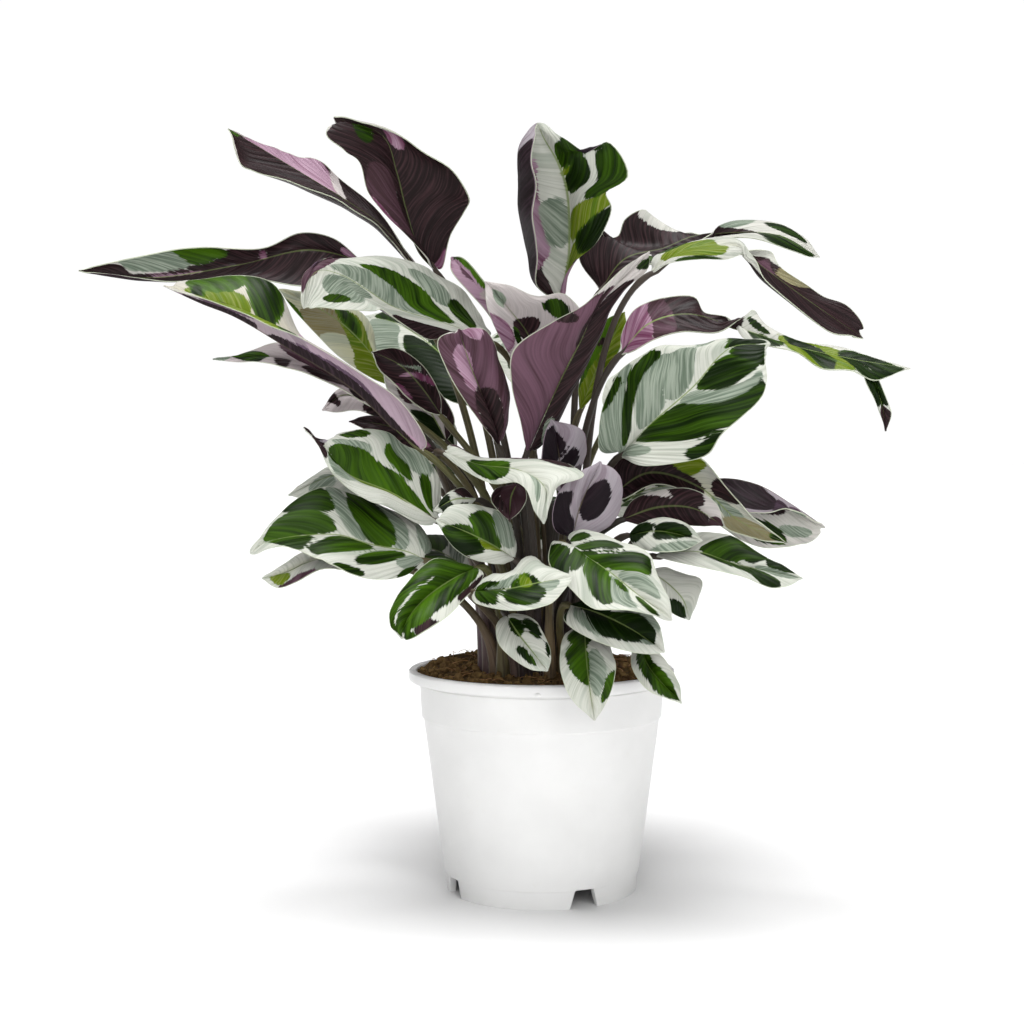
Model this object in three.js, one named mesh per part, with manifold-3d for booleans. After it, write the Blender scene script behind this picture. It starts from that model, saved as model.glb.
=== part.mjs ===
// A potted calathea with white, sage and dark green leaves that are purple below,
// in a white plastic nursery pot. Millimetres, +Z up.
// The origin is under the middle of the whole plant, on the surface that the pot stands on.
// The pot stands off the middle, because the plant leans to one side.
import * as THREE from "three";
import { mergeVertices } from "three/addons/utils/BufferGeometryUtils.js";
import Module from "manifold-3d";

// ---- Driving dimensions ----
const POT_AXIS = [29, -27]; // where the pot's axis stands
const RIM_RADIUS = 70; // outside of the rim, a 14 cm nursery pot
const POT_HEIGHT = 115;
const RIM_HEIGHT = 5.5;
const RIM_EDGE = 0.8; // rounding of the rim
const COLLAR_RADIUS = 63.8; // body just under the rim
const STEP_HEIGHT = 90; // the stacking step
const STEP_OUTSIDE = 63.2; // radius above the step
const STEP_INSIDE = 62.1; // radius below the step
const STEP_SLOPE = 0.5; // half the height over which the step happens
const FOOT_RADIUS = 50.4; // body at the top of the foot ring
const FOOT_RING = [49.6, 46.6]; // outside and inside radius of the foot ring
const FOOT_HEIGHT = 9;
const FOOT_SHOULDER = 0.4; // how far the body stands out over the foot ring
const WALL = 1.6;
const FLOOR_THICKNESS = 2;
const NOTCHES = 4;
const NOTCH_TURN = -64; // degrees from +X to the first notch
const NOTCH_WIDTH = [9, 15]; // at its top and at the foot
const NOTCH_HEIGHT = 8;
const DRAIN_HOLES = 6;
const DRAIN_RADIUS = 4.5;
const DRAIN_CIRCLE = 30;
const SOIL_TOP = 111;
const SOIL_BUMPS = 1; // how far the surface of the soil rises and falls
const SOIL_MOUND = { x: -34, y: 30, height: 3, spread: 16 }; // a heap at the back left
const STALK_DEPTH = 18; // how deep a stalk stands in the soil
const STALK_COLLAR = 3; // how far it stands straight up out of the soil
const STALK_FOOT = 2.4; // radius at the soil
const STALK_TOP = 1.6; // radius at the blade's base
const STALK_TIP = 1; // radius where the stalk has run out under the blade
const STALK_UPRIGHT = 0.6; // share of its height in which a stalk bends least
const STALK_TURN = 0.15; // share of its length in which it turns into the midrib
const STALK_BEND = 20; // least height that it has for its bend
const MIDRIB_RINGS = [0.03, 0.16]; // shares of the blade where the stalk's last rings lie below it
const MIDRIB_SINK = 0.7; // how far, in radii, those rings lie below the blade
const BLADE_THICKNESS = 0.8;
const BLADE_END = 0.8; // half width of a blade at its base and tip
const BLADE_CLOSE = 0.07; // share of a blade in which its base or tip closes
const BLADE_STEADY = 0.08; // share at each end where the blade keeps one cross direction
const GAP = 0.3; // between pieces that touch

// The plant was laid out from a point this far before the pot's axis and this high.
const EYE = { distance: 882, height: 229 };

const POT_SIDES = 32;
const SOIL_SIDES = 22;
const SOIL_RINGS = [0.3, 0.6, 0.85, 1]; // of the surface, as shares of its radius
const DRAIN_SIDES = 10;
const STALK_SIDES = 5;
const STALK_RINGS = 5;
const BLADE_ROWS = [-1, -0.5, 0, 0.5, 1]; // across a blade, from its left to its right margin

const wasm = await Module();
wasm.setup();

// ---- Leaves ----
// Each leaf is laid out as it is seen from the eye point. Its spine is the midrib from the
// blade's base to its tip, and left and right are its margins, as seen on the upper side with the
// tip up. A point is [x, z, depth]: x and z in the plane through the pot's axis, x from that axis,
// and depth how far the point then lies behind (+) or before (-) that plane along the line of sight.
// arch is how far the left and the right half rise above flat, root where the stalk stands from the
// pot's axis, cells how many steps the blade has along it, and lobe a torn strip that hangs from it.
const LEAVES = {
  "leaf_far_left": {
    "root": [-24, 12], "cells": 8, "arch": [4, 2],
    "spine": [[-95, 330, 14], [-123, 336, 8], [-160, 328, -4], [-207, 321, -14], [-245, 325, -18]],
    "left": [[-110, 342, 14], [-127, 345, 12], [-148, 337, 4], [-180, 337, -12], [-207, 334, -18],
      [-228, 329, -20]],
    "right": [[-110, 324, 0], [-124, 317, -2], [-147, 320, -4], [-184, 319, -14], [-212, 321, -18],
      [-228, 323, -19]],
  },
  "leaf_top_left_rolled": {
    "root": [-17, 12], "cells": 7, "arch": [3, 3],
    "spine": [[-64, 323, 12], [-84, 348, 18], [-105, 363, 22], [-136, 382, 24], [-166, 400, 22]],
    "left": [[-86, 356, 24], [-106, 373, 34], [-119, 384, 40], [-132, 386, 40], [-145, 391, 34]],
    "right": [[-78, 338, 8], [-88, 350, 4], [-105, 361, 4], [-130, 370, 4], [-151, 378, 8],
      [-159, 381, 12]],
  },
  "leaf_top_left_dark": {
    "root": [-9, 12], "cells": 8, "arch": [3, -4],
    "spine": [[-57, 326, -4], [-65, 336, -10], [-72, 357, -18], [-77, 377, -26], [-84, 396, -34],
      [-110, 406, -44]],
    "left": [[-53, 326, -4], [-48, 344, -10], [-41, 356, -16], [-38, 363, -20], [-47, 378, -26],
      [-66, 389, -34], [-82, 400, -40]],
    "right": [[-66, 338, -16], [-80, 352, -26], [-92, 367, -34], [-97, 383, -42], [-105, 389, -48],
      [-114, 397, -50]],
  },
  "leaf_left_yellow": {
    "root": [-28, 5], "cells": 5, "arch": [2, 2],
    "spine": [[-80, 264, 30], [-92, 283, 32], [-106, 297, 34], [-122, 307, 36], [-139, 315, 38]],
    "left": [[-90, 268, 28], [-108, 280, 26], [-120, 292, 26], [-131, 304, 32]],
    "right": [[-83, 272, 36], [-87, 283, 42], [-91, 297, 46], [-103, 307, 46], [-118, 312, 42]],
  },
  "leaf_left_pink": {
    "root": [-13, -7], "cells": 8, "arch": [3, 3],
    "spine": [[-62, 229, -45], [-73, 237, -48], [-100, 263, -52], [-133, 284, -52], [-162, 301, -48],
      [-180, 308, -45], [-200, 317, -42]],
    "left": [[-61, 235, -48], [-80, 260, -58], [-107, 278, -64], [-133, 291, -64], [-154, 301, -58],
      [-177, 309, -50]],
    "right": [[-68, 244, -42], [-80, 256, -40], [-106, 274, -36], [-126, 290, -32], [-143, 318, -30],
      [-165, 322, -30], [-186, 320, -34]],
  },
  "leaf_left_curl": {
    "root": [-6, 5], "cells": 5, "arch": [2, 2],
    "spine": [[-70, 246, -18], [-90, 256, -22], [-110, 268, -26], [-133, 277, -30], [-154, 281, -32],
      [-174, 278, -34]],
    "left": [[-84, 250, -28], [-106, 262, -38], [-132, 273, -40], [-150, 276, -38], [-162, 276, -36]],
    "right": [[-84, 262, -20], [-108, 276, -22], [-135, 287, -24], [-156, 290, -28], [-166, 284, -32]],
  },
  "leaf_white_left": {
    "root": [-2, 12], "cells": 9, "arch": [-2, 3],
    "spine": [[-27, 287, -14], [-45, 295, -22], [-79, 306, -40], [-93, 315, -50], [-107, 323, -60],
      [-118, 325, -68], [-124, 318, -76], [-126, 305, -82]],
    "left": [[-33, 288, -20], [-48, 290, -26], [-61, 289, -32], [-83, 302, -50], [-88, 305, -56],
      [-104, 304, -68], [-118, 305, -76]],
    "right": [[-28, 294, -8], [-32, 301, -4], [-42, 313, -6], [-55, 324, -14], [-67, 329, -24],
      [-96, 331, -42], [-114, 331, -60], [-125, 323, -74]],
  },
  "leaf_left_mid": {
    "root": [-20, -7], "cells": 7, "arch": [2, 3],
    "spine": [[-54, 192, -44], [-79, 207, -54], [-104, 218, -62], [-114, 230, -66], [-126, 242, -68]],
    "left": [[-62, 190, -48], [-82, 200, -60], [-91, 203, -66], [-106, 213, -70], [-112, 219, -72],
      [-118, 232, -70]],
    "right": [[-53, 200, -36], [-54, 212, -32], [-62, 226, -34], [-72, 233, -38], [-82, 240, -44],
      [-97, 240, -54], [-108, 238, -60], [-115, 234, -66]],
  },
  "leaf_left_low": {
    "root": [-17, -14], "cells": 7, "arch": [2, 3],
    "spine": [[-62, 172, -48], [-71, 176, -52], [-91, 180, -60], [-109, 185, -66], [-146, 181, -72],
      [-154, 175, -74]],
    "left": [[-74, 163, -62], [-91, 162, -74], [-109, 168, -82], [-119, 173, -82], [-135, 179, -80]],
    "right": [[-59, 180, -40], [-67, 193, -38], [-88, 201, -42], [-103, 208, -46], [-114, 211, -50],
      [-135, 199, -60], [-144, 191, -68]],
  },
  "leaf_left_behind": {
    "root": [-24, -1], "cells": 5, "arch": [2, 2],
    "spine": [[-64, 214, -10], [-91, 217, -18], [-112, 216, -26], [-134, 206, -34]],
    "left": [[-76, 206, -14], [-92, 206, -24], [-110, 206, -30], [-124, 204, -34]],
    "right": [[-76, 224, -10], [-92, 227, -14], [-112, 221, -22], [-126, 213, -30]],
  },
  "leaf_left_under": {
    "root": [-24, -14], "cells": 5, "arch": [2, 2],
    "spine": [[-75, 168, -36], [-101, 171, -42], [-121, 171, -48], [-136, 165, -54], [-148, 162, -60]],
    "left": [[-86, 162, -42], [-101, 166, -50], [-116, 167, -56], [-130, 160, -58], [-140, 157, -60]],
    "right": [[-86, 172, -34], [-101, 177, -38], [-116, 177, -42], [-125, 176, -46], [-136, 170, -52]],
  },
  "leaf_front_left": {
    "root": [-20, -20], "cells": 7, "arch": [4, 3],
    "spine": [[-34, 168, -60], [-48, 161, -72], [-62, 151, -82], [-71, 140, -90], [-74, 130, -96]],
    "left": [[-31, 163, -66], [-42, 150, -82], [-51, 141, -94], [-62, 134, -100], [-69, 130, -100]],
    "right": [[-46, 171, -62], [-57, 172, -68], [-69, 163, -78], [-79, 147, -86], [-80, 137, -92]],
  },
  "leaf_front_mid_left": {
    "root": [-6, -20], "cells": 6, "arch": [3, 3],
    "spine": [[-14, 172, -50], [-27, 180, -56], [-41, 187, -60], [-56, 193, -62]],
    "left": [[-22, 170, -56], [-36, 172, -62], [-48, 180, -64]],
    "right": [[-14, 184, -46], [-20, 195, -48], [-33, 201, -52], [-48, 200, -58]],
  },
  "leaf_front_white": {
    "root": [-13, -20], "cells": 7, "arch": [3, 3],
    "spine": [[-36, 155, -76], [-19, 156, -88], [-4, 159, -94], [17, 163, -96]],
    "left": [[-32, 161, -72], [-25, 164, -72], [-16, 166, -74], [-6, 174, -76], [4, 168, -86]],
    "right": [[-36, 150, -84], [-29, 147, -92], [-10, 145, -106], [5, 149, -106], [12, 156, -102]],
  },
  "leaf_front_white_curl": {
    "root": [-28, -7], "cells": 8, "arch": [3, 3],
    "spine": [[-53, 229, -38], [-33, 222, -52], [-12, 219, -66], [2, 209, -78], [1, 191, -84]],
    "left": [[-47, 233, -34], [-33, 225, -42], [-5, 224, -56], [14, 223, -66], [22, 216, -72],
      [9, 211, -78], [5, 203, -82]],
    "right": [[-45, 222, -50], [-33, 215, -62], [-25, 212, -68], [-14, 213, -76], [-8, 209, -80],
      [-4, 198, -86]],
  },
  "leaf_small_plum": {
    "root": [-2, -14], "cells": 4, "arch": [-2, -2],
    "spine": [[-13, 212, -44], [-16, 205, -47], [-17, 193, -52]],
    "left": [[-23, 210, -44], [-27, 205, -46], [-23, 198, -50]],
    "right": [[-9, 210, -46], [-8, 204, -50], [-11, 198, -52]],
  },
  "leaf_small_left": {
    "root": [-9, -14], "cells": 4, "arch": [1, 1],
    "spine": [[-35, 204, -42], [-46, 204, -48], [-57, 198, -52]],
    "left": [[-42, 197, -46], [-50, 196, -52]],
    "right": [[-42, 210, -42], [-51, 206, -48]],
  },
  "leaf_centre_grey": {
    "root": [2, -7], "cells": 5, "arch": [-3, -3],
    "spine": [[10, 208, -26], [9, 226, -32], [5, 246, -38]],
    "left": [[18, 214, -22], [23, 228, -28], [22, 240, -34]],
    "right": [[0, 214, -36], [0, 228, -40], [2, 240, -42]],
  },
  "leaf_centre_grey_low": {
    "root": [2, -20], "cells": 6, "arch": [-3, -3],
    "spine": [[16, 183, -50], [20, 200, -56], [31, 224, -58]],
    "left": [[30, 186, -50], [40, 196, -52], [43, 209, -54], [39, 219, -56]],
    "right": [[6, 190, -62], [8, 206, -64], [18, 217, -64]],
  },
  "leaf_front_right": {
    "root": [4, -28], "cells": 7, "arch": [3, 3],
    "spine": [[13, 180, -72], [35, 166, -84], [50, 154, -92], [69, 140, -98]],
    "left": [[16, 186, -64], [28, 187, -66], [44, 181, -74], [56, 175, -80], [62, 163, -88],
      [67, 151, -94]],
    "right": [[6, 182, -72], [4, 170, -80], [15, 157, -92], [28, 146, -102], [47, 145, -106]],
  },
  "leaf_front_dark": {
    "root": [10, -20], "cells": 6, "arch": [3, 3],
    "spine": [[15, 148, -66], [31, 143, -76], [49, 134, -84], [65, 123, -90]],
    "left": [[24, 151, -62], [38, 152, -68], [52, 147, -76], [62, 138, -84]],
    "right": [[12, 140, -74], [26, 130, -84], [44, 124, -90], [56, 122, -92]],
  },
  "leaf_front_spotted": {
    "root": [-9, -27], "cells": 5, "arch": [2, 2],
    "spine": [[-19, 143, -74], [-12, 132, -82], [-4, 122, -87], [3, 113, -90]],
    "left": [[-10, 143, -74], [-2, 138, -78], [3, 128, -84], [5, 120, -88]],
    "right": [[-24, 137, -80], [-23, 128, -86], [-17, 121, -90], [-6, 114, -92]],
  },
  "leaf_front_hanging": {
    "root": [13, -27], "cells": 6, "arch": [3, 3],
    "spine": [[23, 138, -58], [23, 126, -74], [25, 106, -88], [28, 87, -92]],
    "left": [[30, 134, -62], [37, 124, -76], [39, 114, -86], [35, 98, -91]],
    "right": [[14, 134, -66], [10, 124, -82], [10, 113, -90], [16, 98, -94]],
  },
  "leaf_right_low": {
    "root": [16, -20], "cells": 5, "arch": [3, 3],
    "spine": [[52, 130, -58], [56, 116, -72], [64, 106, -80], [74, 96, -84]],
    "left": [[58, 128, -62], [64, 120, -72], [72, 108, -80]],
    "right": [[48, 124, -68], [48, 114, -80], [56, 103, -86], [65, 99, -86]],
  },
  "leaf_right_low_behind": {
    "root": [28, -14], "cells": 5, "arch": [2, 2],
    "spine": [[57, 166, -46], [68, 158, -50], [75, 150, -54], [78, 140, -56]],
    "left": [[66, 168, -42], [76, 164, -44], [85, 161, -46], [82, 150, -52]],
    "right": [[58, 158, -52], [63, 150, -56], [70, 143, -58]],
  },
  "leaf_big_right": {
    "root": [9, -7], "cells": 9, "arch": [3, 3],
    "spine": [[41, 227, -46], [58, 244, -60], [80, 263, -68], [100, 284, -72], [121, 286, -76]],
    "left": [[31, 230, -48], [31, 242, -50], [35, 260, -48], [40, 271, -48], [53, 280, -50],
      [63, 284, -54], [80, 285, -60], [95, 289, -66]],
    "right": [[52, 222, -68], [70, 223, -78], [89, 228, -86], [95, 238, -88], [105, 247, -88],
      [117, 259, -86], [119, 268, -84], [118, 277, -80]],
  },
  "leaf_right_brown": {
    "root": [16, -7], "cells": 7, "arch": [2, 2],
    "spine": [[37, 206, -30], [57, 218, -36], [84, 210, -42], [104, 193, -46], [129, 181, -50]],
    "left": [[42, 204, -38], [60, 212, -46], [78, 206, -50], [97, 189, -50], [113, 183, -50]],
    "right": [[37, 222, -34], [57, 230, -42], [84, 226, -50], [98, 210, -50], [108, 198, -50],
      [118, 190, -50]],
  },
  "leaf_right_fan": {
    "root": [28, -1], "cells": 7, "arch": [2, 2],
    "spine": [[78, 208, -14], [94, 214, -20], [114, 211, -26], [132, 201, -30], [150, 189, -34]],
    "left": [[87, 201, -30], [102, 197, -42], [123, 198, -46], [137, 197, -42]],
    "right": [[92, 193, -14], [110, 180, -22], [131, 179, -28], [143, 182, -32]],
  },
  "leaf_right_pale": {
    "root": [5, -14], "cells": 6, "arch": [-2, -2],
    "spine": [[42, 193, -50], [63, 200, -58], [81, 199, -64], [96, 190, -68]],
    "left": [[56, 190, -54], [70, 190, -60], [84, 190, -64]],
    "right": [[48, 203, -48], [63, 209, -56], [80, 209, -62], [93, 201, -68]],
  },
  "leaf_right_white": {
    "root": [13, -14], "cells": 6, "arch": [2, 2],
    "spine": [[46, 185, -58], [63, 187, -70], [85, 182, -76]],
    "left": [[52, 191, -62], [63, 194, -68], [77, 191, -74]],
    "right": [[50, 179, -66], [62, 176, -78], [75, 177, -80]],
  },
  "leaf_right_long": {
    "root": [20, -14], "cells": 7, "arch": [2, 2],
    "spine": [[59, 174, -62], [82, 176, -70], [100, 170, -76], [119, 166, -80], [138, 162, -84]],
    "left": [[70, 180, -60], [83, 186, -60], [100, 185, -66], [118, 173, -76], [128, 169, -80]],
    "right": [[70, 171, -72], [94, 166, -82], [109, 162, -86], [122, 157, -88], [130, 158, -88]],
  },
  "leaf_top_centre": {
    "root": [13, 12], "cells": 10, "arch": [-20, 3],
    "spine": [[8, 307, 10], [13, 322, 8], [15, 335, 6], [14, 366, 2], [9, 382, -4], [1, 396, -10],
      [-2, 403, -14]],
    "left": [[-2, 318, -6], [-3, 335, -12], [-4, 354, -20], [-4, 374, -24], [-5, 388, -22]],
    "right": [[18, 330, 0], [30, 341, -8], [37, 358, -12], [34, 366, -14], [46, 375, -22], [35, 393, -16],
      [24, 388, -14], [13, 394, -14]],
  },
  "leaf_top_right": {
    "root": [17, 6], "cells": 12, "arch": [3, 3],
    "spine": [[31, 314, 20], [44, 331, 22], [65, 337, 24], [80, 343, 26], [94, 345, 28], [126, 343, 30],
      [147, 332, 30]],
    "left": [[35, 315, 10], [46, 322, 8], [55, 327, 8], [64, 330, 10], [72, 336, 12], [81, 340, 16],
      [92, 346, 28], [104, 352, 40], [126, 350, 42], [138, 343, 36]],
    "right": [[20, 330, 26], [20, 340, 30], [27, 351, 34], [33, 343, 32], [40, 343, 34], [44, 352, 36],
      [55, 357, 38], [60, 347, 38], [68, 344, 38], [80, 345, 36], [92, 343, 28], [111, 342, 18],
      [133, 335, 20]],
  },
  "leaf_right_arc": {
    "root": [20, -1], "cells": 9, "arch": [3, 3],
    "spine": [[57, 323, -6], [78, 336, -8], [104, 336, -12], [118, 326, -16], [137, 312, -20],
      [170, 289, -26]],
    "left": [[60, 333, -2], [84, 340, 0], [102, 341, -4], [112, 332, -18], [118, 320, -26],
      [137, 305, -32], [153, 292, -34], [164, 290, -32]],
    "right": [[68, 329, -12], [84, 331, -16], [98, 331, -18], [110, 335, -12], [121, 335, -4],
      [126, 327, -8], [141, 317, -12], [150, 311, -14], [162, 306, -18], [170, 296, -22]],
  },
  "leaf_right_third": {
    "root": [13, -1], "cells": 12, "arch": [2, 2],
    "spine": [[41, 280, -30], [57, 297, -34], [78, 302, -38], [104, 294, -44], [131, 285, -50],
      [163, 278, -56], [195, 273, -60]],
    "left": [[48, 282, -40], [58, 288, -44], [74, 293, -48], [93, 292, -50], [106, 300, -44],
      [112, 304, -40], [118, 296, -40], [133, 288, -42], [160, 284, -48], [179, 278, -54]],
    "right": [[42, 290, -26], [48, 303, -24], [56, 308, -24], [66, 311, -26], [81, 311, -28],
      [86, 303, -32], [99, 300, -38], [107, 289, -52], [120, 285, -60], [135, 281, -62], [148, 273, -66],
      [164, 272, -68], [176, 267, -68], [184, 269, -64]],
    "lobe": {
      "cells": 4, "arch": [1, 1],
      "spine": [[170, 275, -61], [177, 264, -64], [180, 254, -66], [182, 240, -66]],
      "left": [[176, 271, -64], [183, 256, -68], [185, 249, -67]],
      "right": [[171, 267, -64], [176, 257, -65], [180, 247, -66]],
    },
  },
  "leaf_funnel_plum": {
    "root": [-4, -8], "cells": 8, "arch": [-4, -4],
    "spine": [[-8, 228, -30], [9, 265, -40], [21, 289, -46], [31, 311, -48], [57, 335, -46]],
    "left": [[0, 233, -28], [17, 260, -34], [28, 285, -36], [35, 303, -38], [44, 314, -42], [56, 327, -46]],
    "right": [[-11, 244, -42], [-16, 265, -52], [-15, 283, -58], [6, 298, -60], [21, 306, -58],
      [29, 313, -56], [44, 327, -52]],
  },
  "leaf_centre_rim": {
    "root": [5, -1], "cells": 7, "arch": [3, 3],
    "spine": [[-1, 262, -14], [-6, 288, -20], [-17, 304, -26], [-30, 319, -32]],
    "left": [[-10, 268, -20], [-18, 282, -26], [-24, 293, -32], [-29, 306, -36]],
    "right": [[8, 276, -8], [16, 290, -8], [21, 301, -10], [12, 313, -18], [-4, 311, -24], [-16, 317, -30]],
  },
  "leaf_funnel_left": {
    "root": [-9, -1], "cells": 7, "arch": [-5, -5],
    "spine": [[-23, 233, -40], [-29, 251, -46], [-37, 272, -52], [-44, 294, -58]],
    "left": [[-18, 243, -38], [-18, 262, -40], [-23, 280, -44], [-31, 294, -52]],
    "right": [[-32, 244, -52], [-42, 258, -60], [-51, 274, -64], [-55, 288, -62]],
  },
  "leaf_pink_spear": {
    "root": [5, 12], "cells": 6, "arch": [-5, -5],
    "spine": [[-16, 282, 6], [-18, 294, 2], [-27, 310, -5], [-38, 323, -12], [-48, 332, -18]],
    "left": [[-13, 292, -2], [-20, 306, -10], [-30, 319, -18], [-42, 332, -22]],
    "right": [[-21, 290, -4], [-30, 304, -12], [-40, 315, -18], [-48, 325, -22]],
  },
  "leaf_centre_green": {
    "root": [9, 5], "cells": 5, "arch": [2, 2],
    "spine": [[20, 250, 6], [29, 272, 6], [38, 290, 4], [44, 303, 2]],
    "left": [[20, 264, 10], [25, 282, 12], [33, 298, 10]],
    "right": [[30, 262, 0], [39, 278, -2], [45, 293, -2]],
  },
  "leaf_left_dark_behind": {
    "root": [2, 5], "cells": 5, "arch": [2, 2],
    "spine": [[-53, 248, -16], [-64, 264, -20], [-75, 275, -24], [-90, 282, -28]],
    "left": [[-54, 260, -12], [-64, 276, -14], [-77, 284, -20]],
    "right": [[-64, 252, -22], [-76, 263, -28], [-86, 273, -30]],
  },
  "leaf_left_small_curl": {
    "root": [-31, -1], "cells": 4, "arch": [2, 2],
    "spine": [[-75, 246, 2], [-95, 257, -2], [-106, 259, -4], [-116, 251, -6]],
    "left": [[-84, 246, 0], [-97, 251, -4], [-108, 250, -6]],
    "right": [[-84, 256, 2], [-96, 263, 0], [-109, 261, -4]],
  },
  "leaf_left_dark_low": {
    "root": [-17, -1], "cells": 4, "arch": [2, 2],
    "spine": [[-56, 229, -26], [-74, 240, -30], [-88, 244, -33], [-102, 245, -36]],
    "left": [[-68, 226, -34], [-80, 233, -40], [-92, 240, -40]],
    "right": [[-64, 237, -24], [-77, 245, -26], [-91, 248, -30]],
  },
  "leaf_centre_dark": {
    "root": [-13, 5], "cells": 4, "arch": [2, 2],
    "spine": [[-45, 230, 10], [-57, 243, 8], [-72, 255, 6]],
    "left": [[-54, 232, 6], [-66, 244, 4]],
    "right": [[-46, 243, 14], [-60, 255, 12]],
  },
  "leaf_left_dark_mid": {
    "root": [-20, 5], "cells": 5, "arch": [2, 2],
    "spine": [[-50, 234, 2], [-60, 252, -2], [-70, 265, -4], [-84, 272, -6]],
    "left": [[-46, 246, 6], [-58, 266, 4], [-70, 277, 0]],
    "right": [[-60, 240, -6], [-72, 252, -10], [-82, 263, -10]],
  },
  "leaf_back_left_high": {
    "root": [-17, 25], "cells": 5, "arch": [3, 3],
    "spine": [[-30, 252, 24], [-45, 272, 53], [-62, 288, 88], [-80, 298, 123], [-96, 300, 156]],
    "left": [[-48, 256, 32], [-68, 270, 60], [-86, 282, 97], [-96, 292, 130]],
    "right": [[-24, 268, 46], [-36, 286, 88], [-52, 298, 128], [-76, 304, 153]],
  },
  "leaf_back_left_mid": {
    "root": [-13, 18], "cells": 5, "arch": [3, 3],
    "spine": [[-34, 212, 27], [-50, 224, 58], [-74, 228, 94], [-98, 222, 128]],
    "left": [[-48, 208, 27], [-72, 212, 55], [-94, 216, 94]],
    "right": [[-30, 222, 55], [-46, 232, 97], [-76, 232, 128]],
  },
  "leaf_back_left_low": {
    "root": [-20, 18], "cells": 5, "arch": [3, 3],
    "spine": [[-36, 164, 24], [-54, 176, 55], [-76, 180, 88], [-98, 174, 119]],
    "left": [[-52, 162, 24], [-76, 168, 52], [-96, 172, 88]],
    "right": [[-34, 174, 52], [-52, 184, 91], [-80, 182, 119]],
  },
  "leaf_back_centre_high": {
    "root": [-6, 18], "cells": 5, "arch": [3, 3],
    "spine": [[-2, 258, 32], [2, 280, 66], [0, 294, 108], [-8, 296, 161]],
    "left": [[-16, 266, 44], [-24, 282, 77], [-26, 290, 119]],
    "right": [[14, 266, 44], [24, 280, 77], [18, 292, 122]],
  },
  "leaf_back_centre_low": {
    "root": [2, 18], "cells": 5, "arch": [3, 3],
    "spine": [[0, 176, 32], [2, 194, 66], [-2, 204, 108], [-8, 198, 153]],
    "left": [[-14, 182, 44], [-26, 194, 77], [-26, 200, 119]],
    "right": [[14, 182, 44], [26, 194, 77], [18, 202, 122]],
  },
  "leaf_back_right_high": {
    "root": [9, 18], "cells": 5, "arch": [3, 3],
    "spine": [[36, 244, 24], [50, 258, 55], [66, 266, 94], [86, 262, 136]],
    "left": [[32, 258, 46], [42, 272, 86], [62, 274, 125]],
    "right": [[52, 242, 30], [74, 252, 60], [88, 258, 102]],
  },
  "leaf_back_right_mid": {
    "root": [20, 12], "cells": 5, "arch": [3, 3],
    "spine": [[36, 196, 27], [54, 208, 58], [76, 210, 94], [98, 200, 125]],
    "left": [[34, 208, 55], [52, 218, 97], [80, 212, 122]],
    "right": [[50, 194, 24], [76, 198, 55], [96, 200, 94]],
  },
  "leaf_back_right_low": {
    "root": [16, 18], "cells": 5, "arch": [3, 3],
    "spine": [[28, 148, 27], [42, 158, 55], [56, 160, 83], [74, 150, 111]],
    "left": [[24, 156, 52], [38, 166, 86], [58, 162, 108]],
    "right": [[42, 146, 27], [62, 150, 52], [74, 152, 83]],
  },
};

// ---- Materials ----
function plasticMaterial() {
  return new THREE.MeshStandardMaterial({ color: "#e9eaea", roughness: 0.4, metalness: 0 });
}

function soilMaterial() {
  return new THREE.MeshStandardMaterial({ color: "#4a3428", roughness: 0.95, metalness: 0 });
}

function leafMaterial() {
  return new THREE.MeshStandardMaterial({ color: "#7d9a72", roughness: 0.45, metalness: 0 });
}

// ---- Solids ----
function solidOf(geometry) {
  const plain = geometry.clone();
  plain.deleteAttribute("normal");
  plain.deleteAttribute("uv");
  const merged = mergeVertices(plain, 1e-4);
  return new wasm.Manifold(
    new wasm.Mesh({
      numProp: 3,
      vertProperties: new Float32Array(merged.attributes.position.array),
      triVerts: new Uint32Array(merged.index.array),
    }),
  );
}

function geometryOf(solid) {
  const mesh = solid.getMesh();
  const geometry = new THREE.BufferGeometry();
  geometry.setAttribute("position", new THREE.BufferAttribute(new Float32Array(mesh.vertProperties), 3));
  geometry.setIndex(new THREE.BufferAttribute(new Uint32Array(mesh.triVerts), 1));
  const flat = geometry.toNonIndexed();
  flat.computeVertexNormals();
  return flat;
}

function meshGeometry(points, triangles) {
  const geometry = new THREE.BufferGeometry();
  geometry.setAttribute("position", new THREE.Float32BufferAttribute(points.flatMap((p) => [p.x, p.y, p.z]), 3));
  geometry.setIndex(triangles);
  return geometry;
}

function addMesh(group, name, geometry, material) {
  const mesh = new THREE.Mesh(geometry, material);
  mesh.name = name;
  group.add(mesh);
}

function turned(profile, sides) {
  const points = profile.map(([radius, height]) => new THREE.Vector2(radius, height));
  return new THREE.LatheGeometry(points, sides).rotateX(Math.PI / 2);
}

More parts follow.
